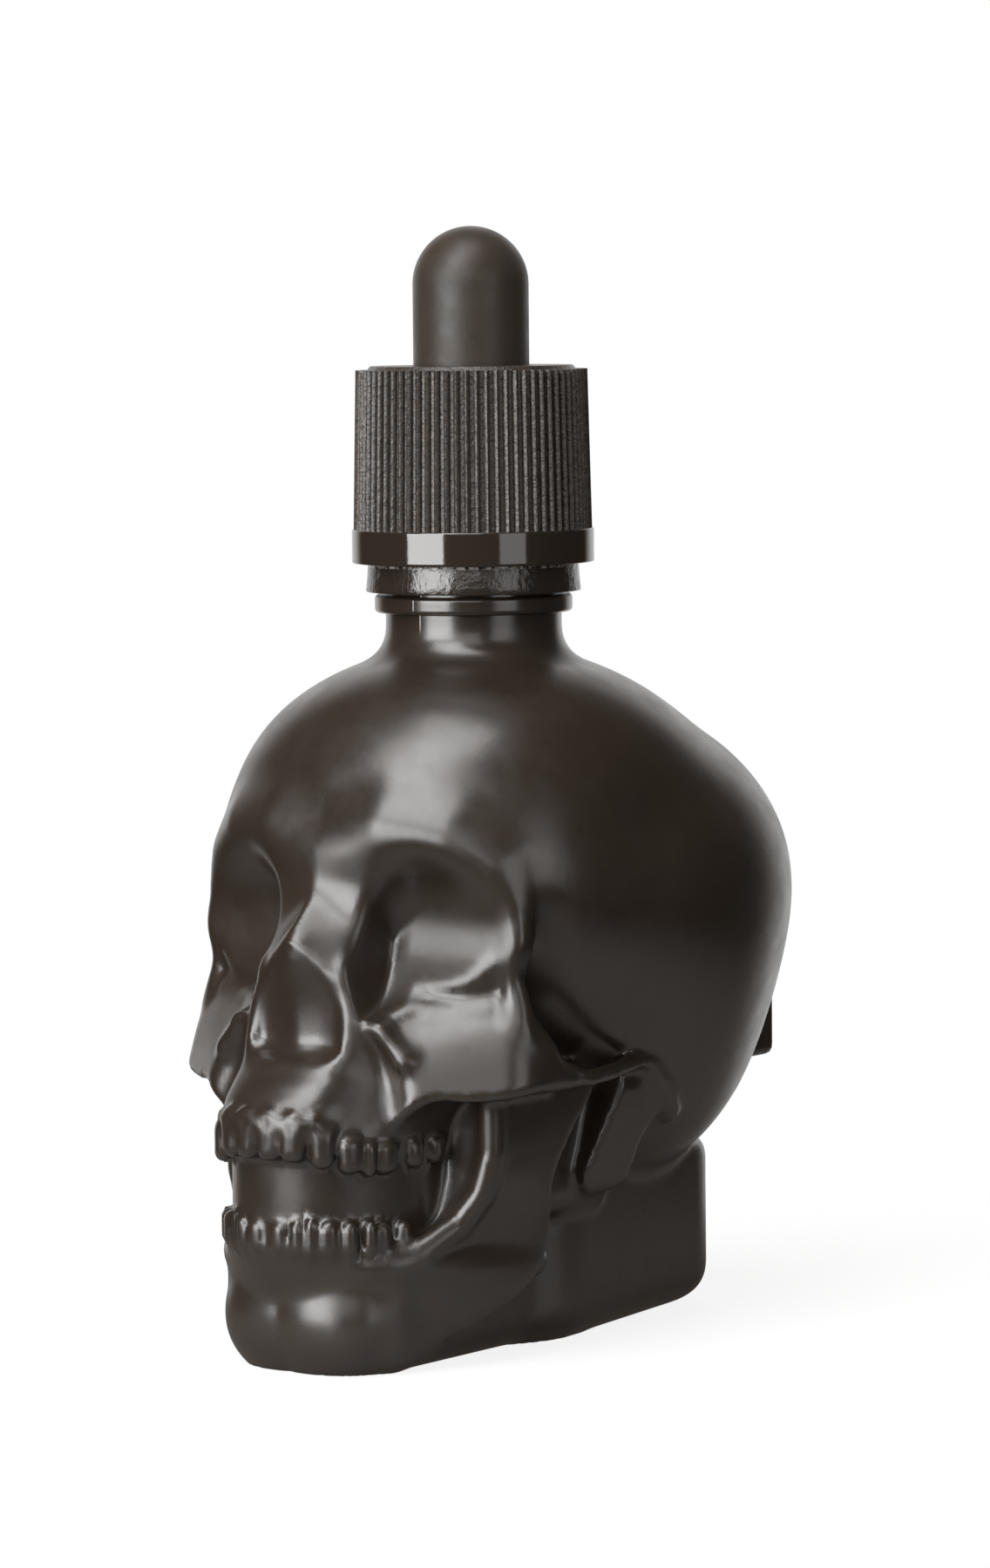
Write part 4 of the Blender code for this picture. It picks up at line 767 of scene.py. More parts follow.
def limb(p, start, end, start_radius, end_radius):
    """A rounded bar that tapers from one end to the other."""
    along = np.subtract(end, start)
    from_start = [a - s for a, s in zip(p, start)]
    t = np.clip(sum(a * b for a, b in zip(from_start, along)) / (along @ along), 0, 1)
    gap = np.sqrt(sum((a - t * b) ** 2 for a, b in zip(from_start, along)))
    return gap - (start_radius + t * (end_radius - start_radius))


def ridge(p, points, radii):
    """Rounded bars end to end through the points."""
    pieces = [limb(p, *ends) for ends in zip(points, points[1:], radii, radii[1:])]
    return np.minimum.reduce(pieces)


def box(p, centre, half, rounding):
    """A box with round edges, from half its sizes."""
    beyond = [np.abs(a - c) - (h - rounding) for a, c, h in zip(p, centre, half)]
    outside = np.sqrt(sum(np.maximum(a, 0) ** 2 for a in beyond))
    inside = np.minimum(np.maximum(np.maximum(beyond[0], beyond[1]), beyond[2]), 0)
    return outside + inside - rounding


def horseshoe(p, half_width, front, middle, power=2.3):
    """An upright wall, round in front of middle and straight behind it."""
    x, y, _ = p
    ahead = np.maximum(middle - y, 0)
    reach = np.sqrt(x * x + ahead * ahead) + TINY
    share = ((x / half_width) ** power + (ahead / (middle - front)) ** power) ** (1 / power)
    return reach * (1 - 1 / (share + TINY))


def by_height(z, heights, values):
    """A smooth curve through the values, level beyond its ends."""
    heights, values = np.array(heights, float), np.array(values, float)
    slopes = np.gradient(values, heights)
    i = np.clip(np.searchsorted(heights, z) - 1, 0, len(heights) - 2)
    span = heights[i + 1] - heights[i]
    t = np.clip((z - heights[i]) / span, 0, 1)
    start, end = values[i], values[i + 1]
    bend_start = slopes[i] * span - (end - start)
    bend_end = (end - start) - slopes[i + 1] * span
    made = start + t * (end - start) + t * (1 - t) * ((1 - t) * bend_start + t * bend_end)
    return made.astype(z.dtype)


# %% [markdown]
# Joining fills in the corner between two shapes over the width of the blend. Keeping and
# carving are the same curve, turned inside out.

# %% Join, keep and carve


def join(a, b, blend):
    """Both shapes, filled in over this width where they meet."""
    near = np.maximum(blend - np.abs(a - b), 0) / blend
    return np.minimum(a, b) - near * near * blend / 4


def keep(a, b, blend):
    """Only what lies in both shapes."""
    return -join(-a, -b, blend)


def carve(a, b, blend):
    """The first shape without the second."""
    return -join(-a, b, blend)


# %% [markdown]
# The brain case is four eggs run into each other: the crown, the forehead, the back of the
# head, and a shoulder that leads up to the neck.

# %% Brain case
CROWN = ((0, 6.95, 45.7), (26.7, 29.6, 20.05))
FOREHEAD = ((0, -11.4, 49.6), (20.05, 12.2, 15.5))
OCCIPUT = ((0, 12.4, 34.5), (21.0, 24.5, 22.85))
SHOULDER = ((0, 0, 56.3), (22.0, 22.0, 13.7))
FOREHEAD_BLEND = 9.0
OCCIPUT_BLEND = 8.0


def cranium(p):
    made = join(ball(p, *CROWN), ball(p, *FOREHEAD), FOREHEAD_BLEND)
    made = join(made, ball(p, *OCCIPUT), OCCIPUT_BLEND)
    return join(made, ball(p, *SHOULDER), BROAD)


# %% [markdown]
# Behind the rim of each eye the temple sinks in, under an edge that falls from the brow to
# the ear. The brow is a soft bar over both eyes.

# %% Temple and brow
TEMPLE_FRONT = -17.7
TEMPLE_DEPTH = 13.8
TEMPLE_EDGE_X = 18.8
TEMPLE_SLANT = 1.05
TEMPLE_HEIGHTS = (27, 29, 31.2, 33.9, 37.6, 41.3, 44.9, 48)
TEMPLE_EDGES = (4.0, -0.1, -3.7, -7.2, -11.5, -14.7, -16.7, -18.3)
SOCKET_BACK = ((10.5, -16.2, 41.0), (8.2, 6.0, 8.5))
BROW = ((0, -21.6, 50.4), (6.5, -21.8, 52.9), (12.0, -19.8, 52.0), (15.6, -18.2, 49.0), (17.4, -17.8, 45.5),
        (18.1, -17.9, 42.5))
BROW_RADII = (2.6, 2.6, 2.4, 1.9, 1.3, 1.0)


def temple_hollow(p):
    """The hollow behind the rim of the eye, under the slanting edge of the brain case."""
    x, y, z = p
    edge = by_height(z, TEMPLE_HEIGHTS, TEMPLE_EDGES) - TEMPLE_SLANT * (TEMPLE_EDGE_X - x)
    made = keep((y - edge) / math.hypot(1, TEMPLE_SLANT), TEMPLE_FRONT - y, FIRM)
    return keep(made, TEMPLE_DEPTH - x, SOFT)


def brow(p):
    return ridge(p, BROW, BROW_RADII)


# %% [markdown]
# A mould that parts sideways can't make a deep round eye socket. Each eye hollow is a scoop
# swept straight along X instead, with an upright wall beside the nose, and that is why
# its floor catches the light in one straight band.

# %% Eye hollows
EYE_MIDDLE = (-28.6, 44.1)
EYE_REACH = 9.1
EYE_OUTER_SIDE = 17.0          # x of its outer rim
EYE_DRAFT = 0.08               # how much its back comes forward per millimetre on the way in
EYE_CREASE_HEIGHTS = (38, 42, 44.5, 49)
EYE_HALF_HEIGHTS = (8.4, 9.3)
EYE_DROOP = 0.05               # fall of the eye hollow per millimetre sideways
EYE_INNER_WALL = 5.3           # x of its inner wall where the wall comes nearest to the nose
EYE_INNER_WALL_HEIGHT = 42.5
EYE_INNER_WALL_BOW = 0.032
EYE_INNER_WALL_SLANT = 0.03
EYE_WALL_FRONT = -26.0
EYE_RIM_HEIGHTS = (37, 42, 47, 51)
EYE_RIM_ROUNDINGS = (0.6, 0.9, 1.4, 2.0)
EYE_CREASE_ROUNDINGS = (0.6, 0.5, 3.0, 5.5)


def eye_hollow(p):
    """A scoop straight in from the side, as the mould's halves part that way, with an upright inner wall."""
    x, y, z = p
    along, height = EYE_MIDDLE
    drooped = z + EYE_DROOP * (x - EYE_INNER_WALL) - height
    half_height = np.where(drooped > 0, *EYE_HALF_HEIGHTS)
    across = np.sqrt((y - along) ** 2 + drooped ** 2) + TINY
    reach = EYE_REACH - np.where(y > along, EYE_DRAFT * (EYE_OUTER_SIDE - x), 0)
    share = np.sqrt(((y - along) / reach) ** 2 + (drooped / half_height) ** 2) + TINY
    wall = EYE_INNER_WALL + EYE_INNER_WALL_BOW * (z - EYE_INNER_WALL_HEIGHT) ** 2
    wall = wall + EYE_INNER_WALL_SLANT * (y - EYE_WALL_FRONT)
    return keep(across * (1 - 1 / share), wall - x, by_height(z, EYE_CREASE_HEIGHTS, EYE_CREASE_ROUNDINGS))


# %% [markdown]
# The cheekbone has flats, as a carver would cut it: one to the front, one up towards the
# eye, one to the side and one towards the nose. A thin ridge rims the eye above them.

# %% Cheekbones
CHEEK_FACES = (((0.56, -0.79, 0.25), 35.4), ((0.275, -0.612, 0.742), 43.6), ((1, 0.05, 0.15), 25.3),
               ((-0.6, -0.8, 0), 15.3))     # each flat: the way it faces, and how far out it lies
CHEEK_EDGES = 2.4
CHEEK_BACK = -11.5
CHEEK_TOP_FRONT = -18.5        # where the cheekbone's upper edge leaves the rim of the eye
CHEEK_TOP_Y = (-19, -18.2, -16.5, -13.5, -11.5)
CHEEK_TOP = (35.4, 33.4, 31.4, 30.3, 29.6)
CHEEK_UNDERSIDE_X = (9, 11, 14, 17, 20, 22)
CHEEK_UNDERSIDE = (24.3, 25.0, 27.0, 27.0, 27.3, 28.0)
CHEEK_PILLAR = ((18.1, -18.0, 43.0), (18.4, -18.2, 38.5), (19.0, -17.6, 34.5), (19.8, -15.6, 31.5))
CHEEK_PILLAR_RADII = (0.9, 1.0, 1.3, 1.5)
EYE_LOWER_RIM = ((16.0, -18.9, 35.6), (12.5, -20.9, 34.9), (9.6, -22.8, 35.1),
                 (7.2, -25.2, 37.0), (5.3, -27.0, 39.4))
EYE_LOWER_RIM_RADII = (1.4, 1.2, 1.0, 0.8, 0.6)


def cheekbone(p):
    """The cheek's flats, with the rim of the eye along its top."""
    x, y, z = p
    made = y - CHEEK_BACK
    for (across, along, up), distance in CHEEK_FACES:
        steepness = math.sqrt(across ** 2 + along ** 2 + up ** 2)
        made = keep(made, (across * x + along * y + up * z - distance) / steepness, CHEEK_EDGES)
    made = keep(made, by_height(x, CHEEK_UNDERSIDE_X, CHEEK_UNDERSIDE) - z, FIRM)
    above = keep(CHEEK_TOP_FRONT - y, by_height(y, CHEEK_TOP_Y, CHEEK_TOP) - z, FIRM)
    made = carve(made, above, FIRM)
    made = join(made, ridge(p, CHEEK_PILLAR, CHEEK_PILLAR_RADII), SOFT)
    return join(made, ridge(p, EYE_LOWER_RIM, EYE_LOWER_RIM_RADII), FIRM)


# %% [markdown]
# The nose is a wall whose reach and width change with height, pointed at the bridge. Its
# opening is shallow, because a deep one would lock the glass in the mould.

# %% Nose
NOSE_HEIGHTS = (30, 33, 37, 41, 42.4, 45, 48.5, 52)
NOSE_FRONTS = (-30.4, -30.5, -30.7, -30.9, -30.4, -28.0, -25.2, -24.6)
NOSE_HALF_WIDTHS = (10.4, 9.8, 9.0, 8.2, 7.8, 7.2, 7.0, 7.0)
NOSE_SQUARENESS = (2.3, 2.2, 1.8, 1.4, 1.25, 1.15, 1.15, 1.2)
NOSE_BACK = -16.0
NOSE_MIDDLE = -20.0
NOSE_OPENING_HEIGHTS = (30.2, 31.2, 33.3, 37, 39.2, 40.9, 42.2)
NOSE_OPENING_HALF_WIDTHS = (4.2, 5.0, 5.2, 4.5, 3.1, 1.6, -0.2)
NOSE_OPENING_FLOOR = 31.0
NOSE_WALL_HEIGHTS = (30, 33, 37, 41)
NOSE_WALLS = (-28.6, -28.4, -28.6, -29.6)
NOSE_PARTITION = (0.6, 2.0)    # how far the wall's middle ridge stands out, and its half width


def nose(p):
    z = p[2]
    half_width, front, power = (by_height(z, NOSE_HEIGHTS, values)
                                for values in (NOSE_HALF_WIDTHS, NOSE_FRONTS, NOSE_SQUARENESS))
    sides = horseshoe(p, half_width, front, NOSE_MIDDLE, power)
    sides = keep(sides, np.maximum(NOSE_HEIGHTS[0] - z, z - NOSE_HEIGHTS[-1]), SOFT)
    return keep(sides, p[1] - NOSE_BACK, SOFT)


def nose_opening(p):
    """A shallow opening with an upright ridge down the middle of its back wall."""
    x, y, z = p
    stand, half_width = NOSE_PARTITION
    wall = by_height(z, NOSE_WALL_HEIGHTS, NOSE_WALLS) - stand * np.exp(-(x / half_width) ** 2)
    made = keep(x - by_height(z, NOSE_OPENING_HEIGHTS, NOSE_OPENING_HALF_WIDTHS), y - wall, FIRM)
    return keep(made, NOSE_OPENING_FLOOR - z, SOFT)


# %% [markdown]
# Both jaws are upright walls too, joined by a plain wall between the rows of teeth.

# %% Jaws
JAW_HEIGHTS = (-1, 1.5, 5, 8.5, 11, 15)
JAW_FRONTS = (-29.4, -30.6, -31.4, -31.8, -32.9, -34.4)
JAW_HALF_WIDTHS = (13.8, 15.0, 15.8, 16.0, 15.6, 12.4)
JAW_SQUARENESS = (1.8, 1.85, 1.95, 2.1, 2.3, 2.3)
JAW_MIDDLE = -9.0
JAW_BACK = -8.5
JAW_TOP = 12.2
JAW_LOWER_EDGE = ((-26, -0.5), (-12, 7.8))     # (y, z) at the chin and at the corner of the jaw
JAW_EDGES = 2.5
CHIN = ((3.4, -27.4, 4.4), (6.0, 4.6, 5.2))
MUZZLE_HEIGHTS = (20, 22, 24.5, 26.5, 28.5, 30, 33, 37, 42, 48)
MUZZLE_FRONTS = (-34.4, -34.7, -35.3, -34.9, -33.5, -32.0, -30.4, -29.4, -27.3, -24.5)
MUZZLE_HALF_WIDTHS = (10.6, 10.7, 11.2, 11.0, 10.6, 10.4, 9.8, 9.2, 8.6, 8.0)
MUZZLE_MIDDLE = -19.0
MUZZLE_BOTTOM = 21.9
MUZZLE_TOP = 50.0
MUZZLE_BACK = -2.0
MOUTH_WALL = (10.4, -34.0)     # half width and front of the wall between the rows of teeth
MOUTH_WALL_HEIGHTS = (6.0, 27.0)
MOUTH_WALL_EASE = 8.0          # how gently its lower edge runs out on the chin
MOULD_SQUARENESS = 2.2


def muzzle(p):
    _, y, z = p
    made = horseshoe(p, by_height(z, MUZZLE_HEIGHTS, MUZZLE_HALF_WIDTHS),
                     by_height(z, MUZZLE_HEIGHTS, MUZZLE_FRONTS), MUZZLE_MIDDLE, MOULD_SQUARENESS)
    made = keep(made, np.maximum(MUZZLE_BOTTOM - z, z - MUZZLE_TOP), FIRM)
    return keep(made, y - MUZZLE_BACK, FIRM)


def jaw(p):
    _, y, z = p
    made = horseshoe(p, by_height(z, JAW_HEIGHTS, JAW_HALF_WIDTHS), by_height(z, JAW_HEIGHTS, JAW_FRONTS),
                     JAW_MIDDLE, by_height(z, JAW_HEIGHTS, JAW_SQUARENESS))
    lower_edge = np.interp(y, *zip(*JAW_LOWER_EDGE)).astype(z.dtype)
    made = keep(made, np.maximum(lower_edge - z, z - JAW_TOP), JAW_EDGES)
    return keep(join(made, ball(p, *CHIN), BROAD), y - JAW_BACK, SOFT)


def mouth_wall(p):
    _, y, z = p
    bottom, top = MOUTH_WALL_HEIGHTS
    made = horseshoe(p, *MOUTH_WALL, MUZZLE_MIDDLE, MOULD_SQUARENESS)
    made = keep(keep(made, z - top, FIRM), bottom - z, MOUTH_WALL_EASE)
    return keep(made, y - MUZZLE_BACK, FIRM)


# %% [markdown]
# The lower jaw's branch rises to the ear. A ridge runs down its front and on over the jaw's
# body, and it holds the brightest line on the side of the face.

# %% Branch of the jaw
RAMUS_HEIGHTS = (6.5, 8, 12, 14.6, 17.5, 21.5, 26.5, 30)
RAMUS_FRONTS = (-20.0, -21.5, -24.0, -20.9, -19.5, -18.9, -18.8, -18.8)
RAMUS_FRONT_SIDES = (13.4, 13.0, 12.4, 14.2, 16.0, 16.7, 16.8, 17.0)
RAMUS_BACKS = (-13.6, -12.3, -10.3, -10.1, -10.0, -8.2, -4.8, -3.6)
RAMUS_BACK_SIDES = (15.8, 16.4, 17.0, 17.1, 17.3, 17.8, 18.5, 18.8)
RAMUS_TOP = 29.0
RAMUS_INSIDE = 10.0
RAMUS_LOWER_EDGE = ((-24, -12, -10), (2.5, 6.5, 9.0))
RAMUS_RIDGE = ((16.2, -19.0, 27.5), (16.2, -19.0, 21.5), (15.3, -19.7, 17.5),
               (13.4, -20.8, 14.6), (11.4, -24.6, 12.0), (8.6, -27.8, 10.5), (5.6, -29.8, 9.6))
RAMUS_RIDGE_RADII = (1.1, 1.1, 1.1, 1.2, 1.2, 1.0, 0.7)
RAMUS_RIDGE_BLEND = 1.5


def jaw_branch(p):
    """The rising part of the jaw, with the ridge along its front that runs on over the jaw's body."""
    x, y, z = p
    front = by_height(z, RAMUS_HEIGHTS, RAMUS_FRONTS)
    back = by_height(z, RAMUS_HEIGHTS, RAMUS_BACKS)
    share = np.clip((y - front) / (back - front), 0, 1)
    front_side = by_height(z, RAMUS_HEIGHTS, RAMUS_FRONT_SIDES)
    back_side = by_height(z, RAMUS_HEIGHTS, RAMUS_BACK_SIDES)
    side = front_side + share * (back_side - front_side)
    plate = keep(x - side, np.maximum(front - y, RAMUS_INSIDE - x), FIRM)
    plate = keep(plate, y - back, FIRM)
    lower_edge = np.interp(y, *RAMUS_LOWER_EDGE).astype(z.dtype)
    plate = keep(plate, np.maximum(lower_edge - z, z - RAMUS_TOP), SOFT)
    return join(plate, ridge(p, RAMUS_RIDGE, RAMUS_RIDGE_RADII), RAMUS_RIDGE_BLEND)


# %% Bone behind the ear
MASTOID_HEIGHTS = (14.5, 16, 17.5, 20, 23.7, 27, 31)
MASTOID_FRONTS = (-1.5, -3.2, -3.8, -3.0, -1.7, -0.5, 1.0)
MASTOID_BACKS = (1.5, 3.6, 4.2, 4.8, 7.6, 11.0, 13.0)
MASTOID_SIDES = (14.8, 16.0, 16.5, 17.2, 18.2, 18.9, 19.0)
MASTOID_BOTTOM = 15.0
MASTOID_INSIDE = 8.0


def mastoid(p):
    """The faceted knob behind the ear, with a crisp front edge."""
    x, y, z = p
    front = by_height(z, MASTOID_HEIGHTS, MASTOID_FRONTS)
    back = by_height(z, MASTOID_HEIGHTS, MASTOID_BACKS)
    made = keep(x - by_height(z, MASTOID_HEIGHTS, MASTOID_SIDES), front - y, CRISP)
    made = keep(made, y - back, FIRM)
    made = keep(made, np.maximum(MASTOID_BOTTOM - z, z - MASTOID_HEIGHTS[-1]), FIRM)
    return keep(made, MASTOID_INSIDE - x, FIRM)


# %% [markdown]
# The teeth stand along an arch. Each is given by where it starts and ends along that arch,
# so an uneven row, with its gaps, is one short list. A tooth is a box with round edges.

# %% Teeth
ARCH_POINTS = 400
UPPER_TEETH = ((21.5, 25.0, 0.1, 2.8), (21.4, 24.9, 2.9, 5.5), (20.8, 24.7, 6.2, 8.6),
               (20.2, 23.9, 9.2, 11.6), (19.8, 23.4, 11.8, 13.1), (19.9, 23.3, 13.2, 15.7),
               (20.2, 23.2, 17.0, 19.2), (20.3, 23.2, 19.9, 22.4))
LOWER_TEETH = ((12.2, 15.5, 0.4, 2.6), (12.2, 15.6, 2.8, 4.4), (12.0, 15.9, 4.5, 5.8),
               (12.0, 15.7, 5.9, 8.1), (12.1, 15.6, 8.4, 10.1), (12.2, 15.5, 10.8, 12.0),
               (12.3, 15.3, 12.1, 13.7), (12.6, 15.2, 14.5, 16.3))
UPPER_ARCH = (11.6, -35.9, -19.0, 2.3)    # half width, front, middle and squareness of the row's outer line
LOWER_ARCH = (11.7, -34.5, -19.0, 2.3)
TOOTH_DEPTH = 1.5
TOOTH_ROUNDING = 0.95
TOOTH_TAPER = 0.09             # share of its width that a tooth gains from its middle to its root
GUM_HEIGHTS = (11.2, 13.4, 22.9, 25.0)
GUM_BLENDS = (1.5, 0.3, 0.3, 1.3)         # how softly the teeth grow out of the gums at those heights
UPPER_GUM = ((0.0, 25.3), (0.7, 25.9), (1.6, 26.1), (2.5, 25.6), (3.0, 25.3), (4.3, 25.9), (5.6, 25.3),
             (6.4, 25.4))
GUM_DEPTH = 0.65               # how far its middle lies behind the row's outer line
GUM_RADIUS = 0.42


def arch_places(arch, distances):
    """Places along a row's outer line: x, y and the line's direction at each distance from the middle."""
    half_width, front, middle, power = arch
    t = np.linspace(0, math.pi / 2, ARCH_POINTS)
    x = half_width * np.sin(t) ** (2 / power)
    y = middle - (middle - front) * np.maximum(np.cos(t), 0) ** (2 / power)
    length = np.concatenate([[0], np.cumsum(np.hypot(np.diff(x), np.diff(y)))])
    direction = np.unwrap(np.arctan2(np.gradient(y), np.gradient(x)))
    return [[float(np.interp(distance, length, values)) for values in (x, y, direction)]
            for distance in distances]


def tooth(p, across, along, turn, bottom, top, start, end, rooted_above):
    """A rounded peg, narrowest at its free end."""
    s, c = math.sin(turn), math.cos(turn)
    x, y = p[0] - across, p[1] - along
    middle, half_height, half_width = (bottom + top) / 2, (top - bottom) / 2, (end - start) / 2
    to_root = (p[2] - middle) / half_height * (1 if rooted_above else -1)
    widening = 1 + TOOTH_TAPER * np.clip(to_root, -1, 1)
    turned_point = ((x * c + y * s) / widening, y * c - x * s, p[2])
    return box(turned_point, (0, TOOTH_DEPTH, middle), (half_width, TOOTH_DEPTH, half_height),
               min(TOOTH_ROUNDING, half_width))


def gum(p):
    """The scalloped edge of the gum over the upper front teeth."""
    places = arch_places(UPPER_ARCH, [distance for distance, _ in UPPER_GUM])
    line = [(x - GUM_DEPTH * math.sin(turn), y + GUM_DEPTH * math.cos(turn), height)
            for (x, y, turn), (_, height) in zip(places, UPPER_GUM)]
    return ridge(p, line, [GUM_RADIUS] * len(line))


def teeth(p):
    made = []
    for arch, row in ((UPPER_ARCH, UPPER_TEETH), (LOWER_ARCH, LOWER_TEETH)):
        places = arch_places(arch, [(start + end) / 2 for _, _, start, end in row])
        made += [tooth(p, *place, *size, row is UPPER_TEETH) for place, size in zip(places, row)]
    return np.minimum.reduce(made)


# %% [markdown]
# The skull would tip back off its chin, so the mould adds a block behind the jaw and a low
# plinth between the two. All three have one flat underside.

# %% Block and plinth
BASE_TRIM = 0.15               # what is cut off the skin to leave a flat base
BLOCK_FRONT = -5.4
BLOCK_BACK = 30.2
BLOCK_HALF_WIDTH = 14.0        # at its front
BLOCK_TAPER = 0.142            # half width lost per millimetre towards the back
BLOCK_TOP = 17.8
BLOCK_ROUNDING = 3.0
BLOCK_FOOT_ROUNDING = 4.2
BLOCK_CORNERS = 6.0
PLINTH = ((0, -13.5, 7.0), (11.0, 14.8, 7.0))


def foot(p):
    """The block behind the jaw, and the plinth that joins it to the chin."""
    x, y, z = p
    side = x - (BLOCK_HALF_WIDTH - (y - BLOCK_FRONT) * BLOCK_TAPER)
    block = keep(side, np.maximum(BLOCK_FRONT - y, y - BLOCK_BACK), BLOCK_CORNERS)
    block = keep(block, z - BLOCK_TOP, BLOCK_ROUNDING)
    block = keep(block, -z - BASE_TRIM, BLOCK_FOOT_ROUNDING)
    return join(block, box(p, *PLINTH, BLOCK_ROUNDING), SOFT)


# %% [markdown]
# Now the skull is put together in the order that a carver would work: the big masses, then
# the hollows, then the small forms that stand on them.

# %% Put the face together
FACE_RIDGE = ((5.6, -26.9, 39.4), (7.0, -27.2, 36.6), (9.4, -27.0, 33.0), (10.9, -26.6, 31.0))
FACE_RIDGE_RADII = (0.5, 0.8, 0.9, 0.8)
FACE_RIDGE_BLEND = 1.6


def face_form(p):
    """The nose and both jaws, before the hollows are taken out."""
    made = join(jaw(p), mouth_wall(p), FIRM)
    made = join(made, muzzle(p), FIRM)
    made = join(made, nose(p), SOFT)
    return join(made, ridge(p, FACE_RIDGE, FACE_RIDGE_RADII), FACE_RIDGE_BLEND)


# %% Put the skull together
NECK_RADIUS = 8.9
NECK_FILLET = 2.95             # where the neck runs into the crown
NECK_FOOT = 0.4                # the plain neck ends this far under the bead's top
BEAD_BOTTOM = 73.2
BEAD_THICKNESS = 1.8
BEAD_TOP = BEAD_BOTTOM + BEAD_THICKNESS
NOSE_RIM = 1.5
CANINE_HOLLOW = ((9.6, -31.6, 29.2), (1.9, 3.6, 5.0))
CANINE_LEAN = -14
CANINE_BLEND = 2.5
NAPE = ((8.0, -4.0, 22.0), (6.6, 8.5, 9.0))    # the plain wall between the jaw and the mastoid
CHEEK_ARCH = ((19.9, -15.5, 29.2), (20.8, -12.5, 28.7), (20.7, -9.0, 28.1), (20.1, -4.8, 28.2),
              (19.7, -1.0, 28.6), (19.1, 3.0, 27.9), (18.3, 6.4, 25.6), (17.4, 8.8, 22.6))
CHEEK_ARCH_RADII = (1.6, 1.0, 0.8, 0.8, 0.8, 0.9, 1.0, 1.1)
EAR_PIT = ((20.4, 1.0, 26.9), (1.9, 2.3, 1.2))
BACK_PAD = ((0, 32.8, 28.9), (9.8, 6.2, 4.3))


def outer_form(p):
    """The whole skull with the plain part of the neck."""
    made = join(cranium(p), ball(p, *SOCKET_BACK), SOFT)
    made = carve(made, temple_hollow(p), CRISP)
    made = join(made, cheekbone(p), FIRM)
    made = join(made, brow(p), BROAD)
    made = join(made, face_form(p), SOFT)
    made = carve(made, eye_hollow(p), by_height(p[2], EYE_RIM_HEIGHTS, EYE_RIM_ROUNDINGS))
    made = carve(made, nose_opening(p), NOSE_RIM)
    made = carve(made, ball(p, *CANINE_HOLLOW, CANINE_LEAN), CANINE_BLEND)
    made = join(made, gum(p), FIRM)
    made = join(made, teeth(p), by_height(p[2], GUM_HEIGHTS, GUM_BLENDS))
    made = join(made, box(p, *NAPE, BLOCK_ROUNDING), FIRM)
    made = join(made, jaw_branch(p), FIRM)
    made = join(made, mastoid(p), FIRM)
    made = join(made, ridge(p, CHEEK_ARCH, CHEEK_ARCH_RADII), FIRM)
    made = carve(made, ball(p, *EAR_PIT), CRISP)
    made = join(made, foot(p), FIRM)
    made = join(made, box(p, *BACK_PAD, FIRM), FIRM)
    neck = np.maximum(np.sqrt(p[0] ** 2 + p[1] ** 2) - NECK_RADIUS, p[2] - BEAD_TOP + NECK_FOOT)
    return join(made, neck, NECK_FILLET)


# %% [markdown]
# The hollow inside follows the big shapes, drawn in by the wall of the glass, and it
# stays at least that far from the outside everywhere. The bore runs down into it.

# %% Hollow and bore
WALL = 2.4                     # thinnest wall round the hollow
WALL_EXTRA = 0.6               # more than that round the brain case
FLOOR_THICKNESS = 3.2
BORE_RADIUS = 5.5              # the hole through the neck
FACE_HOLLOW = ((0, -16, 18), (8, 12.5, 13))
BLOCK_HOLLOW_INSET = 6.0
BLOCK_HOLLOW_SHIFT = 3.0
HOLLOW_ROUNDING = 4.0
HOLLOW_BLEND = 6.0


def hollow_form(p, outer):
    """The hollow: the skull's big shapes drawn in by the wall, and never nearer to the outside."""
    shrink = WALL + WALL_EXTRA
    shapes = [ball(p, centre, [r - shrink for r in radii]) for centre, radii in (CROWN, FOREHEAD, OCCIPUT)]
    shapes.append(box(p, *FACE_HOLLOW, HOLLOW_ROUNDING))
    block_middle = (BLOCK_FRONT + BLOCK_BACK) / 2
    block_half = (BLOCK_HALF_WIDTH - BLOCK_HOLLOW_INSET, (BLOCK_BACK - BLOCK_FRONT) / 2 - FIRM, BLOCK_TOP / 2)
    shapes.append(box(p, (0, block_middle - BLOCK_HOLLOW_SHIFT, BLOCK_TOP / 2), block_half, HOLLOW_ROUNDING))
    made = shapes[0]
    for shape in shapes[1:]:
        made = join(made, shape, HOLLOW_BLEND)
    made = keep(made, FLOOR_THICKNESS - p[2], SOFT)
    return keep(made, outer + WALL, SOFT)


def outside(x, y, z):
    return np.maximum(outer_form((np.abs(x), y, z)), -z - BASE_TRIM)


def inside(x, y, z):
    hollow = hollow_form((np.abs(x), y, z), outside(x, y, z))
    bore = np.maximum(np.sqrt(x ** 2 + y ** 2) - BORE_RADIUS, np.maximum(CROWN[0][2] - z, z - BEAD_TOP))
    return join(hollow, bore, FIRM)


# %% [markdown]
# A skin is stretched over a form in three steps. The form is measured on a grid. Each
# grid cell that the surface crosses gets one point, and each grid edge that it crosses gets
# one quad between four such points. Last, every point slides down the form's slope until
# it lies on the surface, and that is what makes the mesh smooth.

# %% Grid to quads
PINCH_FILL = 0.02              # how far inside a filled grid corner lies


def without_pinches(field):
    """Fills the grid squares met only at two opposite corners, where the skin would touch itself."""
    while True:
        filled = 0
        for axis in range(3):
            turned_field = np.moveaxis(field, axis, 0)
            squares = [turned_field[:, :-1, :-1], turned_field[:, 1:, :-1], turned_field[:, 1:, 1:],
                       turned_field[:, :-1, 1:]]
            a, b, c, d = [square < 0 for square in squares]
            pinched = (a == c) & (b == d) & (a != b)
            filled += pinched.sum()
            for square in squares:
                square[pinched] = np.minimum(square[pinched], -PINCH_FILL)
        if not filled:
            return field


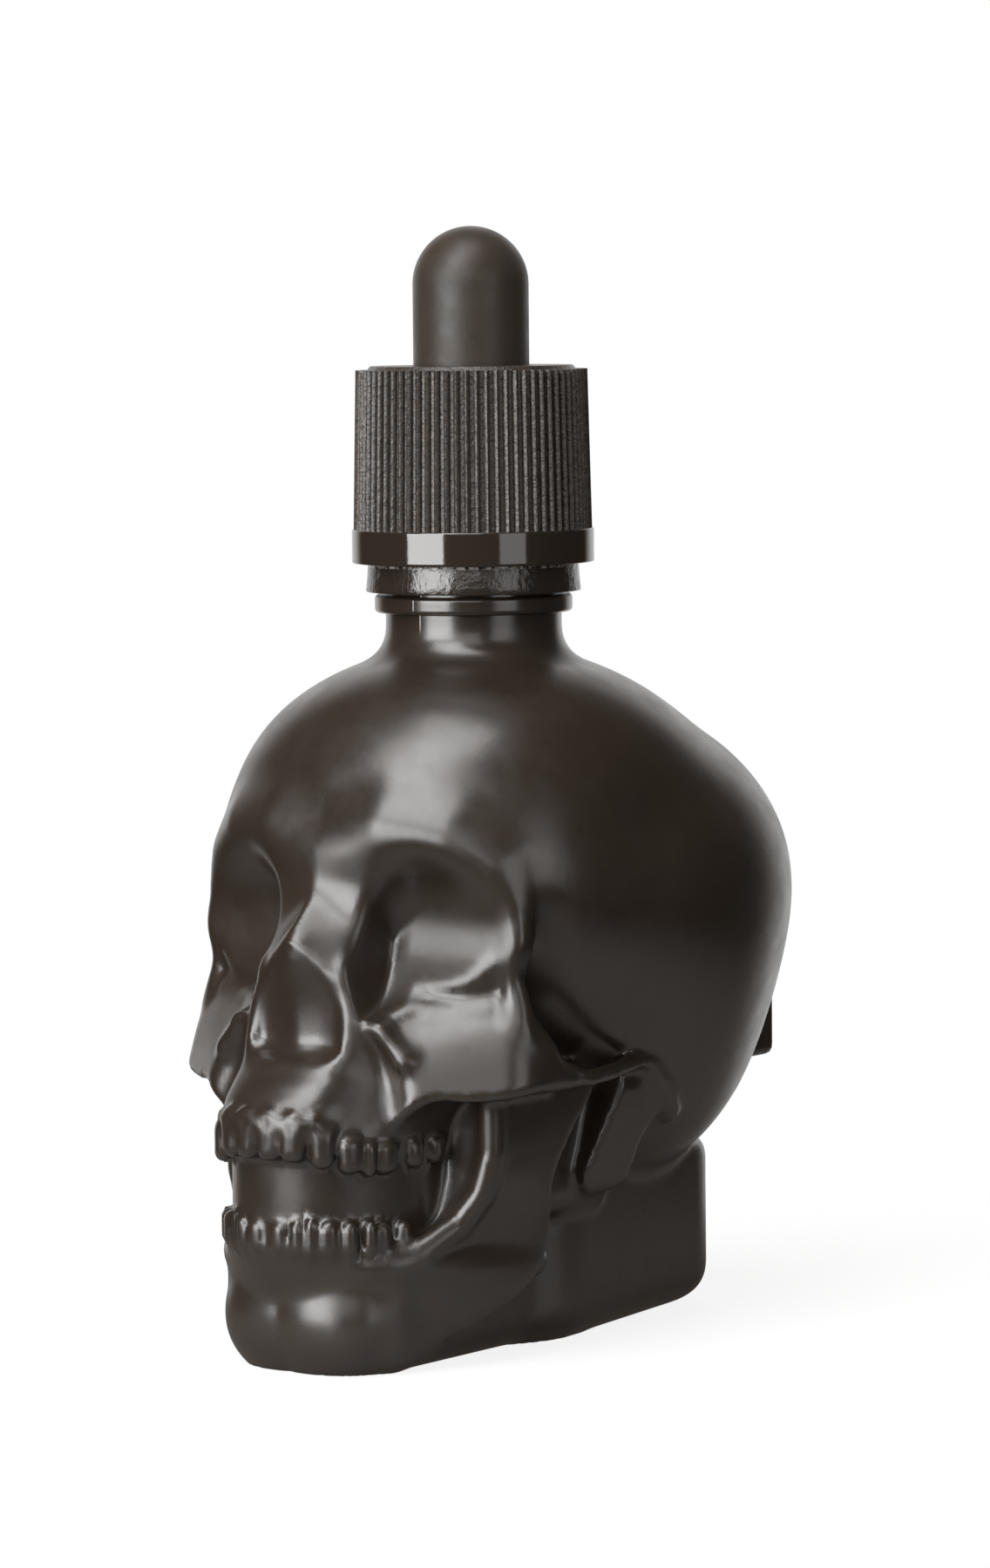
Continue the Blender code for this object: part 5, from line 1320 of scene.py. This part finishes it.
def crossing_point(values, corners):
    """In each grid cell, the middle of the places where its edges cross the surface."""
    total = np.zeros((len(values), 3))
    count = np.zeros(len(values))
    for a in range(8):
        for b in range(a + 1, 8):
            if np.abs(corners[a] - corners[b]).sum() != 1:
                continue
            crosses = (values[:, a] < 0) != (values[:, b] < 0)
            drop = np.where(crosses, values[:, a] - values[:, b], 1)
            share = np.where(crosses, values[:, a] / drop, 0)[:, None]
            total += np.where(crosses[:, None], corners[a] + share * (corners[b] - corners[a]), 0)
            count += crosses
    return total / count[:, None]


def quads_across(field, number, axis):
    """One quad round each grid edge along this axis that the surface crosses."""
    u, v = (axis + 1) % 3, (axis + 2) % 3
    size = field.shape[axis]
    here = np.take(field, range(size - 1), axis) < 0
    ahead = np.take(field, range(1, size), axis) < 0
    spots = np.argwhere(ahead != here)
    leaving = here[tuple(spots.T)]
    ring = []
    for du, dv in ((1, 1), (0, 1), (0, 0), (1, 0)):
        cell = spots.copy()
        cell[:, u] -= du
        cell[:, v] -= dv
        ring.append(number[tuple(cell.T)])
    ring = np.stack(ring, axis=1)
    ring[~leaving] = ring[~leaving][:, ::-1]
    return ring


# %% Settle the points, and stretch the skin
SETTLE_ROUNDS = 2
NUDGES = 10                    # the slope is measured over this part of a grid step
LEAST_STEEPNESS = 0.1          # the slope's square counts as at least this much


def settle(form, points, step):
    """Moves each point along the form's slope until it lies on the surface."""
    nudge = step / NUDGES
    for _ in range(SETTLE_ROUNDS):
        value = form(*points.T)
        ahead = [form(*(points + nudge * axis).T) for axis in np.eye(3)]
        slope = (np.stack(ahead, axis=1) - value[:, None]) / nudge
        move = -slope * (value / np.maximum((slope ** 2).sum(axis=1), LEAST_STEEPNESS))[:, None]
        length = np.sqrt((move ** 2).sum(axis=1))[:, None]
        points = points + move * np.minimum(1, step / 2 / np.maximum(length, TINY))
    return points


def skin(form, low, high, step):
    """A closed mesh of quads over the form, found on a grid and then drawn onto the form."""
    axes = [np.arange(a, b + step, step, dtype=np.float32) for a, b in zip(low, high)]
    grid = np.meshgrid(*axes, indexing="ij")
    field = without_pinches(form(*[g.ravel() for g in grid]).reshape(grid[0].shape))
    cells = np.array(field.shape) - 1
    corners = np.array([(i, j, k) for i in (0, 1) for j in (0, 1) for k in (0, 1)])
    views = [field[i:i + cells[0], j:j + cells[1], k:k + cells[2]] for i, j, k in corners]
    inside = sum((view < 0).astype(np.int8) for view in views)
    crossed = np.argwhere((inside > 0) & (inside < 8))
    number = np.full(cells, -1, np.int64)
    number[tuple(crossed.T)] = np.arange(len(crossed))
    values = np.stack([view[tuple(crossed.T)] for view in views], axis=1)
    points = (crossed + crossing_point(values, corners)) * step + np.array(low)
    faces = np.concatenate([quads_across(field, number, axis) for axis in range(3)])
    return settle(form, points, step), faces


# %% [markdown]
# The outside needs a fine grid for the teeth, and the hollow does with a coarse one. Both
# skins run past the height of the bead, where they are cut level, and the glass is closed
# between the two edges. The cut hides inside the bead.

# %% Skin the outside and the hollow
SKIN_MARGIN = 2.0              # how far that grid runs past the skull
FINE_STEP = 0.52
COARSE_STEP = 1.15
CUT_HEIGHT = 73.9

half_width = CROWN[1][0] + SKIN_MARGIN
front = UPPER_ARCH[1] - SKIN_MARGIN
back = BACK_PAD[0][1] + BACK_PAD[1][1] + SKIN_MARGIN
skin_low = (-half_width, front, -SKIN_MARGIN)
skin_high = (half_width, back, BEAD_TOP + SKIN_MARGIN)


def cut_skin(form, step, turned_inwards):
    """The skin of a form as a bmesh in metres, open at the cut."""
    points, faces = skin(form, skin_low, skin_high, step)
    points[:, 2] = np.maximum(points[:, 2], 0)
    if turned_inwards:
        faces = faces[:, ::-1]
    mesh = bpy.data.meshes.new("skin")
    mesh.from_pydata((points * MM).tolist(), [], faces.tolist())
    shape = bmesh.new()
    shape.from_mesh(mesh)
    bpy.data.meshes.remove(mesh)
    everything = shape.verts[:] + shape.edges[:] + shape.faces[:]
    bmesh.ops.bisect_plane(shape, geom=everything, dist=WELD, plane_co=(0, 0, CUT_HEIGHT * MM),
                           plane_no=(0, 0, 1), clear_outer=True)
    return shape


glass_shape = cut_skin(outside, FINE_STEP, False)
inner_shape = cut_skin(inside, COARSE_STEP, True)
inner_mesh = bpy.data.meshes.new("hollow")
inner_shape.to_mesh(inner_mesh)
inner_shape.free()
glass_shape.from_mesh(inner_mesh)
bpy.data.meshes.remove(inner_mesh)
open_edges = [edge for edge in glass_shape.edges if edge.is_boundary]
bmesh.ops.bridge_loops(glass_shape, edges=open_edges)
print("glass closed:", all(edge.is_manifold for edge in glass_shape.edges))
glass_mesh = bpy.data.meshes.new("glass_skull")
glass_shape.to_mesh(glass_mesh)
glass_shape.free()
glass_mesh.shade_smooth()
glass_mesh.materials.append(coated_glass)
skull = add_object("glass_skull", glass_mesh)
print("skull triangles:", triangles(skull))

# %% [markdown]
# ## The neck's finish
#
# Glassmakers call the top of the neck the finish. It is the one part of a bottle that is
# pressed to a standard, and it is turned here: a bead by which the bottle is carried, a
# plain stem for the tamper ring, a locking bead, and the root of the thread up to the rim.

# %% Turn the finish
GAP = 0.3                      # between pieces that move past each other
RIM_HEIGHT = 91.3
RIM_ROUNDING = 0.5
BEAD_RADIUS = 10.0             # the bead that the bottle is carried by in filling
LOCKING_BEAD_RADIUS = 9.5      # holds the tamper ring down
LOCKING_BEAD_HEIGHT = 1.1
LOCKING_BEAD_EDGE = 0.4
FINISH_RADIUS = 8.0            # root of the bottle's thread
RING_HEIGHT = 2.35             # without its torn lip
LOCKING_BEAD_BOTTOM = BEAD_TOP + GAP + RING_HEIGHT + GAP
MOUTH_ROUNDING = 0.8
FINISH_FOOT = 1.6
BEAD_ROUNDING = 0.4
BEAD_FLAT = 0.15               # keeps the bead's face flat between its rounded edges

stem = RING_BORE - GAP
foot_radius, foot_bottom = NECK_RADIUS - FINISH_FOOT, BEAD_BOTTOM - FINISH_FOOT
bead_middle = BEAD_RADIUS - BEAD_ROUNDING
flat_bottom, flat_top = BEAD_BOTTOM + BEAD_ROUNDING + BEAD_FLAT, BEAD_TOP - BEAD_ROUNDING - BEAD_FLAT
outline = [(BORE_RADIUS, foot_bottom), (foot_radius, foot_bottom), (foot_radius, BEAD_BOTTOM)]
outline += arc(bead_middle, BEAD_BOTTOM + BEAD_ROUNDING, BEAD_ROUNDING, -90, 0)
outline += [(BEAD_RADIUS, flat_bottom), (BEAD_RADIUS, flat_top)]
outline += arc(bead_middle, BEAD_TOP - BEAD_ROUNDING, BEAD_ROUNDING, 0, 90)
outline += [(stem, BEAD_TOP), (stem, LOCKING_BEAD_BOTTOM), (LOCKING_BEAD_RADIUS, LOCKING_BEAD_BOTTOM)]
outline += [(LOCKING_BEAD_RADIUS, LOCKING_BEAD_BOTTOM + LOCKING_BEAD_EDGE)]
outline += [(FINISH_RADIUS, LOCKING_BEAD_BOTTOM + LOCKING_BEAD_HEIGHT)]
outline += arc(FINISH_RADIUS - RIM_ROUNDING, RIM_HEIGHT - RIM_ROUNDING, RIM_ROUNDING, 0, 90)
outline += arc(BORE_RADIUS + MOUTH_ROUNDING, RIM_HEIGHT - MOUTH_ROUNDING, MOUTH_ROUNDING, 90, 180)
neck_finish = turned("neck_finish", outline, coated_glass)
print("neck finish triangles:", triangles(neck_finish))

# %% [markdown]
# The thread is one ridge with a flat crest that climbs round the neck and sinks into it at
# both ends. A Screw modifier could sweep it, but not let it fade, so its points are
# computed turn by turn.

# %% Wind the thread
OVERLAP = 0.4                  # how deep one solid starts inside another that it is joined with
THREAD_PITCH = 3.0
THREAD_DEPTH = 0.95
THREAD_ROOT_WIDTH = 1.3
THREAD_CREST_WIDTH = 0.6
THREAD_DROP = 8.3              # from the rim to the middle of the thread where it starts
BOTTLE_THREAD_TURNS = 1.5
THREAD_LEAD_IN = 40.0          # degrees over which a thread's end fades into its wall
THREAD_END_RISE = 0.15         # share of the thread's height left at its very end
THREAD_STEPS = 72              # per turn


def thread(name, root_radius, crest_radius, start_height, turns, material):
    """A helical ridge that starts inside its wall, and fades into it at both ends."""
    buried = root_radius - OVERLAP
    steps = int(turns * THREAD_STEPS)
    fade = THREAD_LEAD_IN / 360
    points = []
    for i in range(steps + 1):
        turn = turns * i / steps
        rise = min(1, turn / fade, (turns - turn) / fade)
        crest = buried + (crest_radius - buried) * max(rise, THREAD_END_RISE)
        angle = math.tau * turn
        height = start_height + THREAD_PITCH * turn
        for radius, offset in ((buried, -THREAD_ROOT_WIDTH / 2), (crest, -THREAD_CREST_WIDTH / 2),
                               (crest, THREAD_CREST_WIDTH / 2), (buried, THREAD_ROOT_WIDTH / 2)):
            points.append((radius * math.cos(angle), radius * math.sin(angle), height + offset))
    faces = [(0, 1, 2, 3), tuple(4 * steps + k for k in (3, 2, 1, 0))]
    for i in range(steps):
        for k in range(4):
            a, b = 4 * i + k, 4 * i + (k + 1) % 4
            faces.append((a, a + 4, b + 4, b))
    return mesh_object(name, points, faces, material)


bottle_thread = thread("bottle_thread", FINISH_RADIUS, FINISH_RADIUS + THREAD_DEPTH, RIM_HEIGHT - THREAD_DROP,
                       BOTTLE_THREAD_TURNS, coated_glass)
print("thread turns:", BOTTLE_THREAD_TURNS)

# %% [markdown]
# ## Put the pieces on the frame
#
# Each piece rides on the body that carries it, so that it follows the joints. The inner cap
# and the pipette keep the frame's own solids, which already have their full shape, and get
# better finishes.

# %% Ride, replace and finish
for piece in (skull, neck_finish, bottle_thread):
    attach(piece, "glass")
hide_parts("bottle")
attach(shell, "shell")
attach(ribs, "shell")
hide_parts("outer_shell")
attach(bulb, "teat")
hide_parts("bulb")
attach(ring, "ring")
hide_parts("tamper_ring")


def refinish(node, material):
    """A better material on a solid of the frame."""
    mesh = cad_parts[node].data
    mesh.materials.clear()
    mesh.materials.append(material)


refinish("inner_cap", polished)
refinish("pipette", clear_glass)
